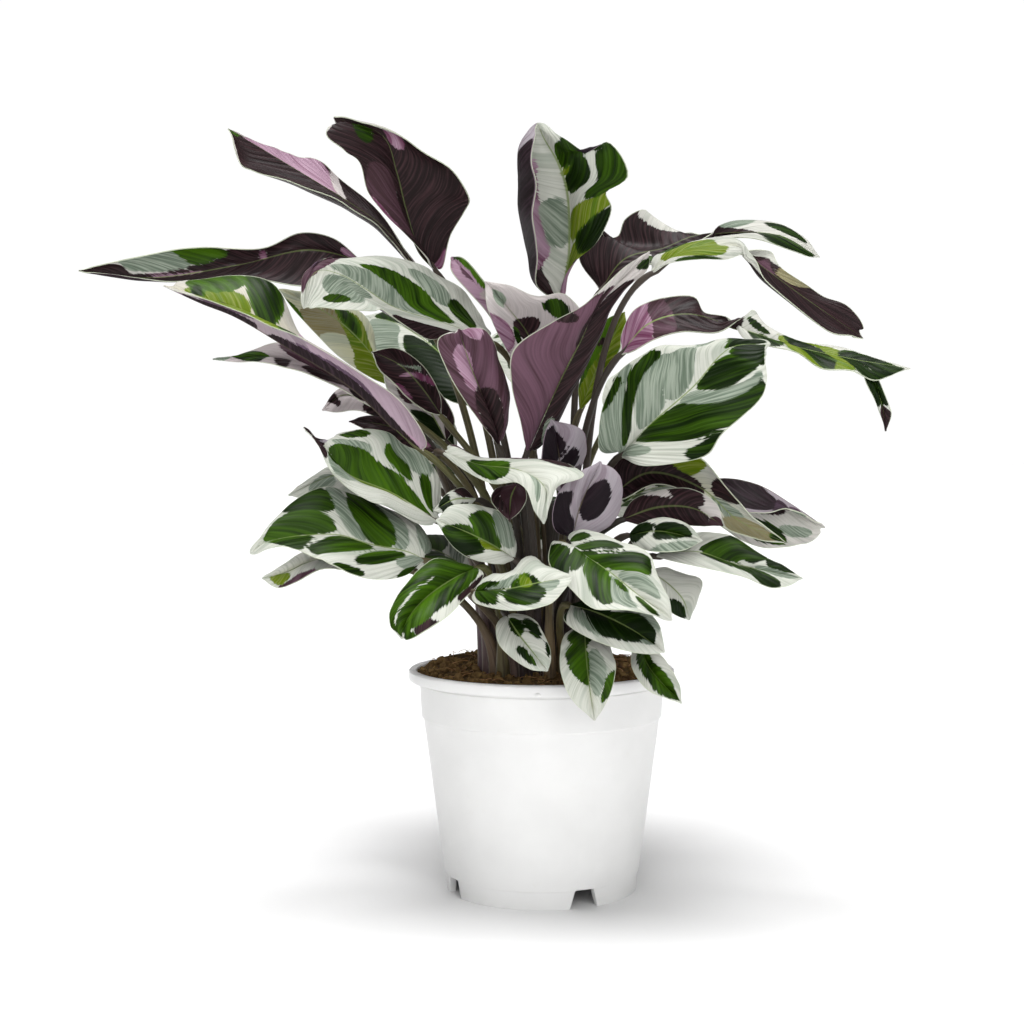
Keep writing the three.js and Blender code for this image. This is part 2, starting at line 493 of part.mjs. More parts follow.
// ---- Pot ----
function potGeometry() {
  const floorTop = FOOT_HEIGHT + FLOOR_THICKNESS;
  const rimUnder = POT_HEIGHT - RIM_HEIGHT;
  const shoulder = FOOT_RADIUS + FOOT_SHOULDER;
  const profile = [
    [0, FOOT_HEIGHT],
    [FOOT_RING[1], FOOT_HEIGHT],
    [FOOT_RING[1], 0],
    [FOOT_RING[0], 0],
    [FOOT_RADIUS, FOOT_HEIGHT],
    [shoulder, FOOT_HEIGHT + 2 * FOOT_SHOULDER],
    [STEP_INSIDE, STEP_HEIGHT - STEP_SLOPE],
    [STEP_OUTSIDE, STEP_HEIGHT + STEP_SLOPE],
    [COLLAR_RADIUS, rimUnder],
    [RIM_RADIUS - RIM_EDGE / 2, rimUnder],
    [RIM_RADIUS, rimUnder + RIM_EDGE],
    [RIM_RADIUS, POT_HEIGHT - RIM_EDGE],
    [RIM_RADIUS - RIM_EDGE, POT_HEIGHT],
    [COLLAR_RADIUS - WALL + RIM_EDGE, POT_HEIGHT],
    [COLLAR_RADIUS - WALL, POT_HEIGHT - RIM_EDGE],
    [STEP_OUTSIDE - WALL, STEP_HEIGHT + 2 * STEP_SLOPE],
    [STEP_INSIDE - WALL, STEP_HEIGHT - 2 * STEP_SLOPE],
    [shoulder - WALL, floorTop],
    [0, floorTop],
  ];
  let pot = solidOf(turned(profile, POT_SIDES));
  for (let i = 0; i < NOTCHES; i += 1) {
    pot = pot.subtract(notch(NOTCH_TURN + (360 / NOTCHES) * i));
  }
  for (let i = 0; i < DRAIN_HOLES; i += 1) {
    pot = pot.subtract(drainHole((2 * Math.PI * i) / DRAIN_HOLES));
  }
  return geometryOf(pot);
}

function drainHole(angle) {
  const hole = new THREE.CylinderGeometry(DRAIN_RADIUS, DRAIN_RADIUS, 3 * FLOOR_THICKNESS, DRAIN_SIDES);
  hole.rotateX(Math.PI / 2);
  const height = FOOT_HEIGHT + FLOOR_THICKNESS / 2;
  hole.translate(DRAIN_CIRCLE * Math.cos(angle), DRAIN_CIRCLE * Math.sin(angle), height);
  return solidOf(hole);
}

// A wedge through the foot ring, wider at the foot.
function notch(degrees) {
  const [top, foot] = NOTCH_WIDTH;
  const below = 1;
  const outline = new THREE.Shape([
    new THREE.Vector2(-foot / 2, -below),
    new THREE.Vector2(foot / 2, -below),
    new THREE.Vector2(top / 2, NOTCH_HEIGHT),
    new THREE.Vector2(-top / 2, NOTCH_HEIGHT),
  ]);
  const reach = FOOT_RADIUS + FOOT_SHOULDER;
  const cut = new THREE.ExtrudeGeometry(outline, { depth: reach - FOOT_RING[1] / 2, bevelEnabled: false });
  cut.rotateX(Math.PI / 2);
  cut.translate(0, -FOOT_RING[1] / 2, 0);
  cut.rotateZ(THREE.MathUtils.degToRad(degrees + 90));
  return solidOf(cut);
}

// ---- Soil ----
function soilGeometry(holes) {
  const base = FOOT_HEIGHT + FLOOR_THICKNESS + GAP;
  const footRadius = FOOT_RADIUS + FOOT_SHOULDER - WALL - 2 * GAP;
  const stepRadius = STEP_INSIDE - WALL - 2 * GAP;
  const topRadius = STEP_OUTSIDE - WALL - GAP;
  const profile = [
    [0, base],
    [footRadius, base],
    [stepRadius, STEP_HEIGHT - 4 * STEP_SLOPE],
    [topRadius, STEP_HEIGHT + 6 * STEP_SLOPE],
  ];
  for (const share of [...SOIL_RINGS].reverse()) {
    profile.push([topRadius * share, SOIL_TOP]);
  }
  profile.push([0, SOIL_TOP]);
  const soil = turned(profile, SOIL_SIDES);
  const position = soil.attributes.position;
  for (let i = 0; i < position.count; i += 1) {
    if (position.getZ(i) > STEP_HEIGHT + 6 * STEP_SLOPE + GAP) {
      position.setZ(i, SOIL_TOP + soilRise(position.getX(i), position.getY(i)));
    }
  }
  let solid = solidOf(soil);
  for (const hole of holes) {
    solid = solid.subtract(hole);
  }
  return geometryOf(solid);
}

function soilRise(x, y) {
  const bumps = Math.sin(0.19 * x + 1) * Math.cos(0.23 * y) + 0.5 * Math.sin(0.41 * y + 0.13 * x);
  const away = Math.hypot(x - SOIL_MOUND.x, y - SOIL_MOUND.y) / SOIL_MOUND.spread;
  return SOIL_BUMPS * bumps + SOIL_MOUND.height * Math.exp(-2 * away ** 2);
}

// ---- Leaves ----
// Where a point of the table lies, seen from the pot's axis.
function place([x, z, depth]) {
  const share = (EYE.distance + depth) / EYE.distance;
  return new THREE.Vector3(x * share, depth, EYE.height + (z - EYE.height) * share);
}

function curveThrough(points) {
  return new THREE.CatmullRomCurve3(points.map(place), false, "centripetal");
}

// The unit vector from the midrib to a margin, square to the midrib.
function sideways(spine, margin, u) {
  const along = spine.getTangent(u);
  const out = margin.getPoint(u).sub(spine.getPoint(u));
  out.addScaledVector(along, -out.dot(along));
  return out.normalize();
}

// Where the blade is at u, 0 to 1 from its base to its tip, and v, -1 to 1 from left to right.
function bladePoint(blade, u, v) {
  const middle = blade.spine.getPoint(u);
  const steady = THREE.MathUtils.clamp(u, BLADE_STEADY, 1 - BLADE_STEADY);
  const left = sideways(blade.spine, blade.left, steady);
  const right = sideways(blade.spine, blade.right, steady);
  const onRight = v >= 0;
  const open = right.sub(left).normalize().multiplyScalar(onRight ? 1 : -1);
  const out = (onRight ? blade.right : blade.left).getPoint(u).sub(middle);
  const fade = THREE.MathUtils.smoothstep(Math.min(u, 1 - u), 0, BLADE_CLOSE);
  const end = open.multiplyScalar(Math.max(out.length(), BLADE_END)).lerp(out, fade);
  const along = blade.spine.getTangent(u);
  const lift = onRight ? end.clone().cross(along) : along.clone().cross(end);
  const height = blade.arch[onRight ? 1 : 0] * Math.sin(Math.PI * u) ** 0.7;
  const across = Math.abs(v);
  return middle
    .addScaledVector(end, across)
    .addScaledVector(lift.normalize(), 4 * height * across * (1 - across));
}

// Out of the upper face.
function bladeNormal(blade, u, v) {
  const [du, dv] = [0.01, 0.1];
  const along = bladePoint(blade, Math.min(u + du, 1), v).sub(bladePoint(blade, Math.max(u - du, 0), v));
  const across = bladePoint(blade, u, Math.min(v + dv, 1));
  across.sub(bladePoint(blade, u, Math.max(v - dv, -1)));
  return across.cross(along).normalize();
}

// A closed sheet: both faces are the same grid, half the thickness above and below.
function bladeGeometry(blade, cells) {
  const points = [];
  for (const side of [0.5, -0.5]) {
    for (let i = 0; i <= cells; i += 1) {
      for (const v of BLADE_ROWS) {
        const normal = bladeNormal(blade, i / cells, v);
        points.push(bladePoint(blade, i / cells, v).addScaledVector(normal, side * BLADE_THICKNESS));
      }
    }
  }
  const wide = BLADE_ROWS.length;
  const under = (cells + 1) * wide;
  const triangles = [];
  const quad = (a, b, c, d) => triangles.push(a, b, c, a, c, d);
  for (let i = 0; i < cells; i += 1) {
    for (let j = 0; j < wide - 1; j += 1) {
      const a = i * wide + j;
      quad(a, a + 1, a + wide + 1, a + wide);
      triangles.push(under + a, under + a + wide + 1, under + a + 1);
      triangles.push(under + a, under + a + wide, under + a + wide + 1);
    }
    const left = i * wide;
    const right = left + wide - 1;
    quad(left, left + wide, under + left + wide, under + left);
    quad(right, under + right, under + right + wide, right + wide);
  }
  for (let j = 0; j < wide - 1; j += 1) {
    const tip = cells * wide + j;
    quad(j, under + j, under + j + 1, j + 1);
    quad(tip, tip + 1, under + tip + 1, under + tip);
  }
  return meshGeometry(points, triangles);
}

// The line of a stalk, from just above the soil to the base of the blade.
function stalkPath(leaf, blade) {
  const [x, y] = leaf.root;
  const foot = new THREE.Vector3(x, y, SOIL_TOP + STALK_COLLAR);
  const base = blade.spine.getPoint(0);
  const rise = STALK_UPRIGHT * Math.max(base.z - foot.z, STALK_BEND);
  const lower = new THREE.Vector3(x, y, foot.z + rise);
  const turn = STALK_TURN * foot.distanceTo(base);
  const upper = base.clone().addScaledVector(blade.spine.getTangent(0), -turn);
  return new THREE.CubicBezierCurve3(foot, lower, upper, base);
}

function tube(centres, radii) {
  const points = [];
  const triangles = [];
  const side = new THREE.Vector3(1, 0, 0);
  centres.forEach((centre, i) => {
    const before = centres[Math.max(i - 1, 0)];
    const after = centres[Math.min(i + 1, centres.length - 1)];
    const along = after.clone().sub(before).normalize();
    side.addScaledVector(along, -side.dot(along)).normalize();
    const up = along.clone().cross(side);
    for (let k = 0; k < STALK_SIDES; k += 1) {
      const angle = (2 * Math.PI * k) / STALK_SIDES;
      const point = centre.clone().addScaledVector(side, radii[i] * Math.cos(angle));
      points.push(point.addScaledVector(up, radii[i] * Math.sin(angle)));
    }
  });
  const last = (centres.length - 1) * STALK_SIDES;
  for (let i = 0; i < last; i += STALK_SIDES) {
    for (let k = 0; k < STALK_SIDES; k += 1) {
      const next = (k + 1) % STALK_SIDES;
      triangles.push(i + k, i + next, i + STALK_SIDES + next);
      triangles.push(i + k, i + STALK_SIDES + next, i + STALK_SIDES + k);
    }
  }
  for (let k = 1; k < STALK_SIDES - 1; k += 1) {
    triangles.push(0, k + 1, k, last, last + k, last + k + 1);
  }
  return meshGeometry(points, triangles);
}

// The stalk runs on under the blade as the midrib.
function stalkGeometry(leaf, blade) {
  const [x, y] = leaf.root;
  const path = stalkPath(leaf, blade);
  const centres = [new THREE.Vector3(x, y, SOIL_TOP - STALK_DEPTH)];
  const radii = [STALK_FOOT];
  for (let i = 0; i < STALK_RINGS; i += 1) {
    centres.push(path.getPoint(i / STALK_RINGS));
    radii.push(THREE.MathUtils.lerp(STALK_FOOT, STALK_TOP, (i / STALK_RINGS) ** 0.8));
  }
  for (const u of MIDRIB_RINGS) {
    const radius = THREE.MathUtils.lerp(STALK_TOP, STALK_TIP, u / MIDRIB_RINGS[1]);
    centres.push(blade.spine.getPoint(u).addScaledVector(bladeNormal(blade, u, 0), -MIDRIB_SINK * radius));
    radii.push(radius);
  }
  return tube(centres, radii);
}

// The hole in the soil that a stalk stands in.
function holeGeometry(leaf) {
  const radius = STALK_FOOT + GAP;
  const [x, y] = leaf.root;
  const ends = [SOIL_TOP - STALK_DEPTH - GAP, SOIL_TOP + 2 * STALK_COLLAR];
  return tube(ends.map((z) => new THREE.Vector3(x, y, z)), [radius, radius]);
}

function bladeOf(leaf) {
  const base = leaf.spine[0];
  const tip = leaf.spine[leaf.spine.length - 1];
  return {
    spine: curveThrough(leaf.spine),
    left: curveThrough([base, ...leaf.left, tip]),
    right: curveThrough([base, ...leaf.right, tip]),
    arch: leaf.arch,
  };
}

function leafGeometry(leaf) {
  const blade = bladeOf(leaf);
  let solid = solidOf(bladeGeometry(blade, leaf.cells));
  if (leaf.lobe) {
    solid = solid.add(solidOf(bladeGeometry(bladeOf(leaf.lobe), leaf.lobe.cells)));
  }
  return geometryOf(solid.add(solidOf(stalkGeometry(leaf, blade))));
}

// ---- Assembly ----
const group = new THREE.Group();
addMesh(group, "pot", potGeometry(), plasticMaterial());
const holes = Object.values(LEAVES).map((leaf) => solidOf(holeGeometry(leaf)));
addMesh(group, "soil", soilGeometry(holes), soilMaterial());
for (const [name, leaf] of Object.entries(LEAVES)) {
  addMesh(group, name, leafGeometry(leaf), leafMaterial());
}
for (const mesh of group.children) {
  mesh.geometry.translate(POT_AXIS[0], POT_AXIS[1], 0);
}
export default group;
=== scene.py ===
import math
import bpy
import numpy as np
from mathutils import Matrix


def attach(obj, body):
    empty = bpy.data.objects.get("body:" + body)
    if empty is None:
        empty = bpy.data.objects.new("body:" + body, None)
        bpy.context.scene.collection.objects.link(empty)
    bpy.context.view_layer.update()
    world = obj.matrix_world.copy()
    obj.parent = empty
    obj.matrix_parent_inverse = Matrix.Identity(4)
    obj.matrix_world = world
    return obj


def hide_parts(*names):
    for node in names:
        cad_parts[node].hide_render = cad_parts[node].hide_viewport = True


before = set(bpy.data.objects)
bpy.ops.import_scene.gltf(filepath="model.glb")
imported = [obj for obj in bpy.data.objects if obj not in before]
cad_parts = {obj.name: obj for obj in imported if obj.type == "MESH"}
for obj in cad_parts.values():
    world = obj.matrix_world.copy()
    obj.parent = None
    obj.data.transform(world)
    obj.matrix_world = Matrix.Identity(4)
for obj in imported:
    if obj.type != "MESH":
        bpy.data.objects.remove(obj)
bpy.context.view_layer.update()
mm = 0.001
chance = np.random.default_rng(41)

# Where things stand, in mm from the pot's axis. The frame's origin is under the middle of the whole plant.
layout = {
    "potAxis": (29, -27),
    "eye": (882, 229),  # how far in front of the axis the leaves were looked at from, and how high
}


def deselectAll():
    if bpy.context.object and bpy.context.object.mode != "OBJECT":
        bpy.ops.object.mode_set(mode="OBJECT")
    bpy.ops.object.select_all(action="DESELECT")


def pick(*pieces):
    deselectAll()
    for piece in pieces:
        piece.select_set(True)
    bpy.context.view_layer.objects.active = pieces[0]


def applyAll(piece):
    pick(piece)
    for modifier in list(piece.modifiers):
        bpy.ops.object.modifier_apply(modifier=modifier.name)


def settle(piece):
    # puts the place and size into the mesh, so the piece sits at the origin
    pick(piece)
    bpy.ops.object.transform_apply(location=True, rotation=True, scale=True)


def readPoints(mesh):
    flat = np.empty(len(mesh.vertices) * 3)
    mesh.vertices.foreach_get("co", flat)
    return flat.reshape(-1, 3)


def writePoints(mesh, points):
    mesh.vertices.foreach_set("co", np.ascontiguousarray(points, dtype=np.float32).ravel())
    mesh.update()


def unit(rows):
    return rows / np.maximum(np.linalg.norm(rows, axis=-1, keepdims=True), 1e-9)


def inFrame(points):
    # millimetres from the pot's axis to metres in the frame
    return (points + np.array([*layout["potAxis"], 0])) * mm


def inScene(x, y, z):
    # one such place, for the operators that add a shape
    return tuple(inFrame(np.array([x, y, z], dtype=float)))


def smoothStep(x):
    x = np.clip(x, 0, 1)
    return x * x * (3 - 2 * x)


def addSheet(name, rows, columns):
    # a flat grid; u runs 0 to 1 along it and v -1 to 1 across it
    deselectAll()
    bpy.ops.mesh.primitive_grid_add(x_subdivisions=rows, y_subdivisions=columns, size=2)
    piece = bpy.context.object
    piece.name = piece.data.name = name
    points = readPoints(piece.data)
    return piece, np.clip((points[:, 0] + 1) / 2, 0, 1), np.clip(points[:, 1], -1, 1)


def addRing(radius, height, ring):
    # carries the selected ring of edges on to its next radius and height
    bpy.ops.mesh.extrude_region_move(TRANSFORM_OT_translate={"value": (0, 0, (height - ring[1]) * mm)})
    grown = radius / ring[0]
    bpy.ops.transform.resize(value=(grown, grown, 1), center_override=inScene(0, 0, height))
    return radius, height


def addTurned(name, sides, first, profile):
    # a closed turned shape around the pot's axis: a disc, whose rim is carried on through the profile
    radius, height = first
    deselectAll()
    bpy.ops.mesh.primitive_circle_add(vertices=sides, radius=radius * mm, fill_type="NGON",
                                      location=inScene(0, 0, height))
    piece = bpy.context.object
    piece.name = piece.data.name = name
    settle(piece)
    bpy.ops.object.mode_set(mode="EDIT")
    bpy.ops.mesh.select_all(action="SELECT")
    bpy.ops.mesh.region_to_loop()
    ring = first
    for spot in profile:
        ring = addRing(*spot, ring)
    bpy.ops.mesh.edge_face_add()
    bpy.ops.mesh.select_all(action="SELECT")
    bpy.ops.mesh.normals_make_consistent(inside=False)
    bpy.ops.object.mode_set(mode="OBJECT")
    return piece


def setMap(mesh, name, perVertex):
    # writes a UV map from one pair of numbers for each vertex
    layer = mesh.uv_layers[0]
    layer.name = name
    corner = np.empty(len(mesh.loops), dtype=np.int32)
    mesh.loops.foreach_get("vertex_index", corner)
    layer.data.foreach_set("uv", np.ascontiguousarray(perVertex[corner], dtype=np.float32).ravel())


def setField(mesh, name, values):
    field = mesh.attributes.new(name, "FLOAT", "POINT")
    field.data.foreach_set("value", np.ascontiguousarray(values, dtype=np.float32))


def linear(hexColour):
    # an sRGB hex colour as Blender's linear colour
    parts = [int(hexColour[i:i + 2], 16) / 255 for i in (1, 3, 5)]
    return [c / 12.92 if c <= 0.04045 else ((c + 0.055) / 1.055) ** 2.4 for c in parts] + [1]


def fill(tree, socket, value):
    # links an output to the socket, or sets a number or a colour on it
    if isinstance(value, bpy.types.NodeSocket):
        tree.links.new(value, socket)
    else:
        socket.default_value = linear(value) if isinstance(value, str) else value


def addNode(tree, kind, inputs=None, **settings):
    node = tree.nodes.new(kind)
    for key, value in settings.items():
        setattr(node, key, value)
    for key, value in (inputs or {}).items():
        fill(tree, node.inputs[key], value)
    return node


def addNoise(tree, place, scale, detail=2.0, roughness=0.5, **settings):
    inputs = {"Vector": place, "Scale": scale, "Detail": detail, "Roughness": roughness}
    return addNode(tree, "ShaderNodeTexNoise", inputs, **settings).outputs["Fac"]


def addRange(tree, value, low, high, top=1.0, bottom=0.0, **settings):
    # what lies from low to high, spread from bottom to top
    inputs = {"Value": value, "From Min": low, "From Max": high, "To Min": bottom, "To Max": top}
    return addNode(tree, "ShaderNodeMapRange", inputs, **settings).outputs["Result"]


def addMix(tree, share, a, b):
    return addNode(tree, "ShaderNodeMix", {"Factor": share, "A": a, "B": b}, data_type="RGBA").outputs["Result"]


def addMaths(tree, operation, a, b, **settings):
    return addNode(tree, "ShaderNodeMath", {0: a, 1: b}, operation=operation, **settings).outputs["Value"]


def addBump(tree, height, strength, distance, **under):
    inputs = {"Height": height, "Strength": strength, "Distance": distance, **under}
    return addNode(tree, "ShaderNodeBump", inputs).outputs["Normal"]


def newMaterial(name, colour, roughness, ior=1.45, **values):
    material = bpy.data.materials.new(name)
    material.use_nodes = True
    tree = material.node_tree
    shader = tree.nodes["Principled BSDF"]
    shader.inputs["Base Color"].default_value = linear(colour)
    shader.inputs["Roughness"].default_value = roughness
    shader.inputs["IOR"].default_value = ior
    for key, value in values.items():
        shader.inputs[key].default_value = value
    material.diffuse_color = linear(colour)
    return material, tree, shader


potLooks = {
    "sides": 160,
    "height": 115,
    "rim": (70, 5.5, 0.8),  # radius, height and rounding
    "collar": 64.3,  # radius just under the rim
    "lip": (66, 3.2, 0.8),  # inner radius of the rim, how deep that goes, height of the slope below
    "seam": (0.8, 0.6, 1.8, 2.0),  # groove under the rim: depth, and how far down it starts, slopes out and ends
    "step": (90, 63.2, 62.1, 0.5),  # for stacking: height, radius above it, radius below it, half its own height
    "foot": (50.4, 9, 0.9, 0.36),  # top of the foot ring: radius, height, the body's step out, and that step's rise
    "footRing": (49.9, 46.6),  # radius outside and inside
    "wall": 1.6,
    "floor": 2,
    "notches": (4, -64.6, 10.2, 16.6, 9.6, 12),  # how many, degrees to the first, width at top and foot, height, reach
    "drains": (6, 4.5, 30, 40),  # how many, radius, radius of their circle, sides
    "rounding": (0.35, 2, 28),  # of the moulded edges: width, segments, degrees of the bluntest edge it takes
    "smooth": 40,  # degrees up to which the wall looks smooth
    "nub": (-91.6, 4.51, 0.8, 1.6, 1.1),  # gate mark on the rim: degrees, how far down, half its size each way
}


def cutOut(piece, cutter):
    pick(piece)
    cut = piece.modifiers.new("cut", "BOOLEAN")
    cut.operation = "DIFFERENCE"
    cut.solver = "EXACT"
    cut.object = cutter
    bpy.ops.object.modifier_apply(modifier=cut.name)
    bpy.data.objects.remove(cutter)


def potProfile():
    # radii and heights, from the inside of the foot ring out, up the wall, over the rim and down to the floor
    look = potLooks
    rimRadius, rimHeight, edge = look["rim"]
    stepHeight, stepOut, stepIn, slope = look["step"]
    footRadius, footHeight, over, overHeight = look["foot"]
    ringOut, ringIn = look["footRing"]
    lipRadius, lipDepth, lipSlope = look["lip"]
    seam, seamTop, seamSlope, seamEnd = look["seam"]
    shoulder, wall, collar, height = footRadius + over, look["wall"], look["collar"], look["height"]
    under = height - rimHeight
    return [
        (ringIn, 0), (ringOut, 0), (footRadius, footHeight), (shoulder, footHeight + overHeight),
        (stepIn, stepHeight - slope), (stepOut, stepHeight + slope), (collar, under - seamEnd),
        (collar - seam, under - seamSlope), (collar - seam, under - seamTop), (collar, under),
        (rimRadius - edge / 2, under), (rimRadius, under + edge), (rimRadius, height - edge),
        (rimRadius - edge, height), (lipRadius + edge, height), (lipRadius, height - edge),
        (lipRadius, height - lipDepth), (collar - wall, height - lipDepth - lipSlope),
        (stepOut - wall, stepHeight + 2 * slope), (stepIn - wall, stepHeight - 2 * slope),
        (shoulder - wall, footHeight + look["floor"]),
    ]


def cutNotches(pot):
    # wedges with a slanted side each way, through the foot ring
    count, first, top, foot, tall, reach = potLooks["notches"]
    radius = potLooks["foot"][0]
    for i in range(count):
        turn = math.radians(first + 360 / count * i)
        place = inScene(math.cos(turn) * radius, math.sin(turn) * radius, tall / 2 - 1)
        bpy.ops.mesh.primitive_cube_add(size=1, location=place, rotation=(0, 0, turn),
                                        scale=(reach * mm, foot * mm, (tall + 2) * mm))
        wedge = bpy.context.object
        for corner in wedge.data.vertices:
            if corner.co.z > 0:
                corner.co.y *= top / foot
        settle(wedge)
        cutOut(pot, wedge)


def cutDrains(pot):
    count, radius, circle, sides = potLooks["drains"]
    thick = potLooks["floor"]
    for i in range(count):
        turn = 2 * math.pi * i / count
        place = inScene(circle * math.cos(turn), circle * math.sin(turn), potLooks["foot"][1] + thick / 2)
        bpy.ops.mesh.primitive_cylinder_add(vertices=sides, radius=radius * mm, depth=3 * thick * mm,
                                            location=place)
        cutOut(pot, bpy.context.object)


def addNub(pot):
    # the gate mark, a small oval pip on the rim
    degrees, down, *size = potLooks["nub"]
    turn, radius = math.radians(degrees), potLooks["rim"][0]
    place = inScene(radius * math.cos(turn), radius * math.sin(turn), potLooks["height"] - down)
    bpy.ops.mesh.primitive_uv_sphere_add(segments=24, ring_count=12, radius=mm, location=place,
                                         rotation=(0, 0, turn), scale=size)
    nub = bpy.context.object
    settle(nub)
    pick(pot, nub)
    bpy.ops.object.join()


def buildPot():
    look = potLooks
    first = (look["footRing"][1], look["foot"][1])
    pot = addTurned("nurseryPot", look["sides"], first, potProfile())
    cutNotches(pot)
    cutDrains(pot)
    addNub(pot)
    width, segments, bluntest = look["rounding"]
    edges = pot.modifiers.new("edges", "BEVEL")
    edges.width = width * mm
    edges.segments = segments
    edges.angle_limit = math.radians(bluntest)
    applyAll(pot)
    bpy.ops.object.shade_smooth_by_angle(angle=math.radians(look["smooth"]))
    pot.data.materials.clear()
    pot.data.materials.append(whitePlastic())
    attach(pot, "root")
    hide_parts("pot")
    print("pot: ready")


def whitePlastic():
    # Injection-moulded white polypropylene: a soft satin sheen, faintly cloudy, with the finest orange peel
    material, tree, shader = newMaterial("whitePolypropylene", "#eeeeec", 0.36, 1.49)
    place = addNode(tree, "ShaderNodeTexCoord").outputs["Object"]
    cloud = addNoise(tree, place, 28.0, 3.0)
    tint = addMix(tree, addRange(tree, cloud, 0.35, 0.65), "#e9e9e8", "#efefee")
    # a trace of soil dust and water marks
    dust = addRange(tree, addNoise(tree, place, 90.0, 6.0, 0.7), 0.62, 0.8, top=0.16)
    fill(tree, shader.inputs["Base Color"], addMix(tree, dust, tint, "#d9d3c8"))
    fill(tree, shader.inputs["Roughness"], addRange(tree, cloud, 0.0, 1.0, bottom=0.32, top=0.42))
    fill(tree, shader.inputs["Normal"], addBump(tree, addNoise(tree, place, 1800.0), 0.25, 0.00005))
    return material


soilLooks = {
    "top": 113.2,  # mm above what the pot stands on
    "gap": 0.4,  # to the pot's wall and floor
    "past": 1.2,  # how far above and below the pot's step the soil's side has its own step
    "brim": (0.3, 0.5, 0.2),  # how far the side bends under and over the slope of the lip, and ends under the top
    "bumps": 0.7,
    "grain": 0.35,  # height of the finer bumps
    "backRise": 0.045,  # how much higher it lies for each mm behind the middle
    "mound": (-45, 35, 1.4, 26),  # a heap at the back left: x, y, height, spread
    "sides": 110,
    "rings": 34,
    "clods": (900, 0.7, 3.2),  # how many crumbs lie on top, and the smallest and largest radius
    "crumb": (1.3, 0.28, 0.28),  # one crumb before scaling: size, cut off its edges, and how uneven it gets
    "squash": (0.6, 1.2),  # least and most that a crumb is scaled along each of its axes
    "fibres": (150, 5, 18, 0.18),  # how many coir fibres, shortest, longest and radius
    "bend": 1.6,  # most that a fibre turns along its length, in radians
    "thick": (0.6, 1.3),  # thinnest and thickest that it gets, as a share of its radius
    "arch": (0.1, 1.3),  # least and most that its middle stands up
    "reach": 63,  # how far from the axis a fibre may lie
}


def soilRise(x, y):
    mx, my, high, spread = soilLooks["mound"]
    heap = high * np.exp(-2 * ((x - mx) ** 2 + (y - my) ** 2) / spread ** 2)
    waves = soilLooks["bumps"] * (np.sin(0.19 * x + 1) * np.cos(0.23 * y) + 0.5 * np.sin(0.41 * y + 0.13 * x))
    return waves + heap + soilLooks["backRise"] * np.maximum(y, 0)


def soilGrain(x, y):
    waves = np.sin(x * 1.3 + 2 * np.sin(y * 0.7)) * np.cos(y * 1.7) + 0.7 * np.sin(x * 2.9 + y * 2.3)
    return waves * soilLooks["grain"]


def wallInside(height):
    # inner radius of the pot at a height
    look = potLooks
    stepHeight, stepOut, stepIn, slope = look["step"]
    footRadius, footHeight, over, _ = look["foot"]
    lipRadius, lipDepth, lipSlope = look["lip"]
    wall, ledge = look["wall"], look["height"] - lipDepth
    heights = [footHeight + look["floor"], stepHeight - 2 * slope, stepHeight + 2 * slope,
               ledge - lipSlope, ledge]
    radii = [footRadius + over - wall, stepIn - wall, stepOut - wall, look["collar"] - wall, lipRadius]
    return float(np.interp(height, heights, radii))


def soilProfile():
    look, pot = soilLooks, potLooks
    gap, past, top, rings = look["gap"], look["past"], look["top"], look["rings"]
    below, above, under = look["brim"]
    step, ledge = pot["step"][0], pot["height"] - pot["lip"][1] - pot["lip"][2]
    heights = (pot["foot"][1] + pot["floor"] + gap, step - past, step + past, ledge - below)
    profile = [(wallInside(height) - gap, height) for height in heights]
    edge = wallInside(top - under) - gap
    profile += [(profile[-1][0], ledge + above), (edge, top - under)]
    inset = 0.6  # of the first ring, as a share of the space between two
    return profile + [(edge * (1 - (i + inset) / (rings + inset)), top) for i in range(rings)]


def buildSoil():
    look = soilLooks
    first, *profile = soilProfile()
    soil = addTurned("pottingSoil", look["sides"], first, profile)
    points = readPoints(soil.data) / mm - np.array([*layout["potAxis"], 0])
    upper = points[:, 2] > look["top"] - 1.5  # the side keeps its form
    points[upper, 2] += (soilRise(points[:, 0], points[:, 1]) + soilGrain(points[:, 0], points[:, 1]))[upper]
    writePoints(soil.data, inFrame(points))
    pick(soil)
    bpy.ops.object.shade_smooth_by_angle(angle=math.radians(50))
    crumbs = scatterCrumbs()
    threads = scatterFibres()
    earth, coir = pottingEarth("pottingEarth", "#65502f", "#3a2c1b"), coconutFibre()
    bark = pottingEarth("barkCrumbs", "#8a7247", "#553e27")
    for piece, material in ((soil, earth), (crumbs, bark), (threads, coir)):
        piece.data.materials.clear()
        piece.data.materials.append(material)
        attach(piece, "root")
    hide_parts("soil")
    print("soil: ready, with", look["clods"][0], "crumbs and", look["fibres"][0], "fibres")


def freeSpot(margin):
    # somewhere on the soil, at least this far from the wall
    reach = wallInside(soilLooks["top"]) - margin
    turn, share = chance.uniform(0, 2 * math.pi), math.sqrt(chance.uniform())
    return math.cos(turn) * share * reach, math.sin(turn) * share * reach


def onSoil(x, y, lift):
    return [x, y, soilLooks["top"] + float(soilRise(x, y)) + lift]


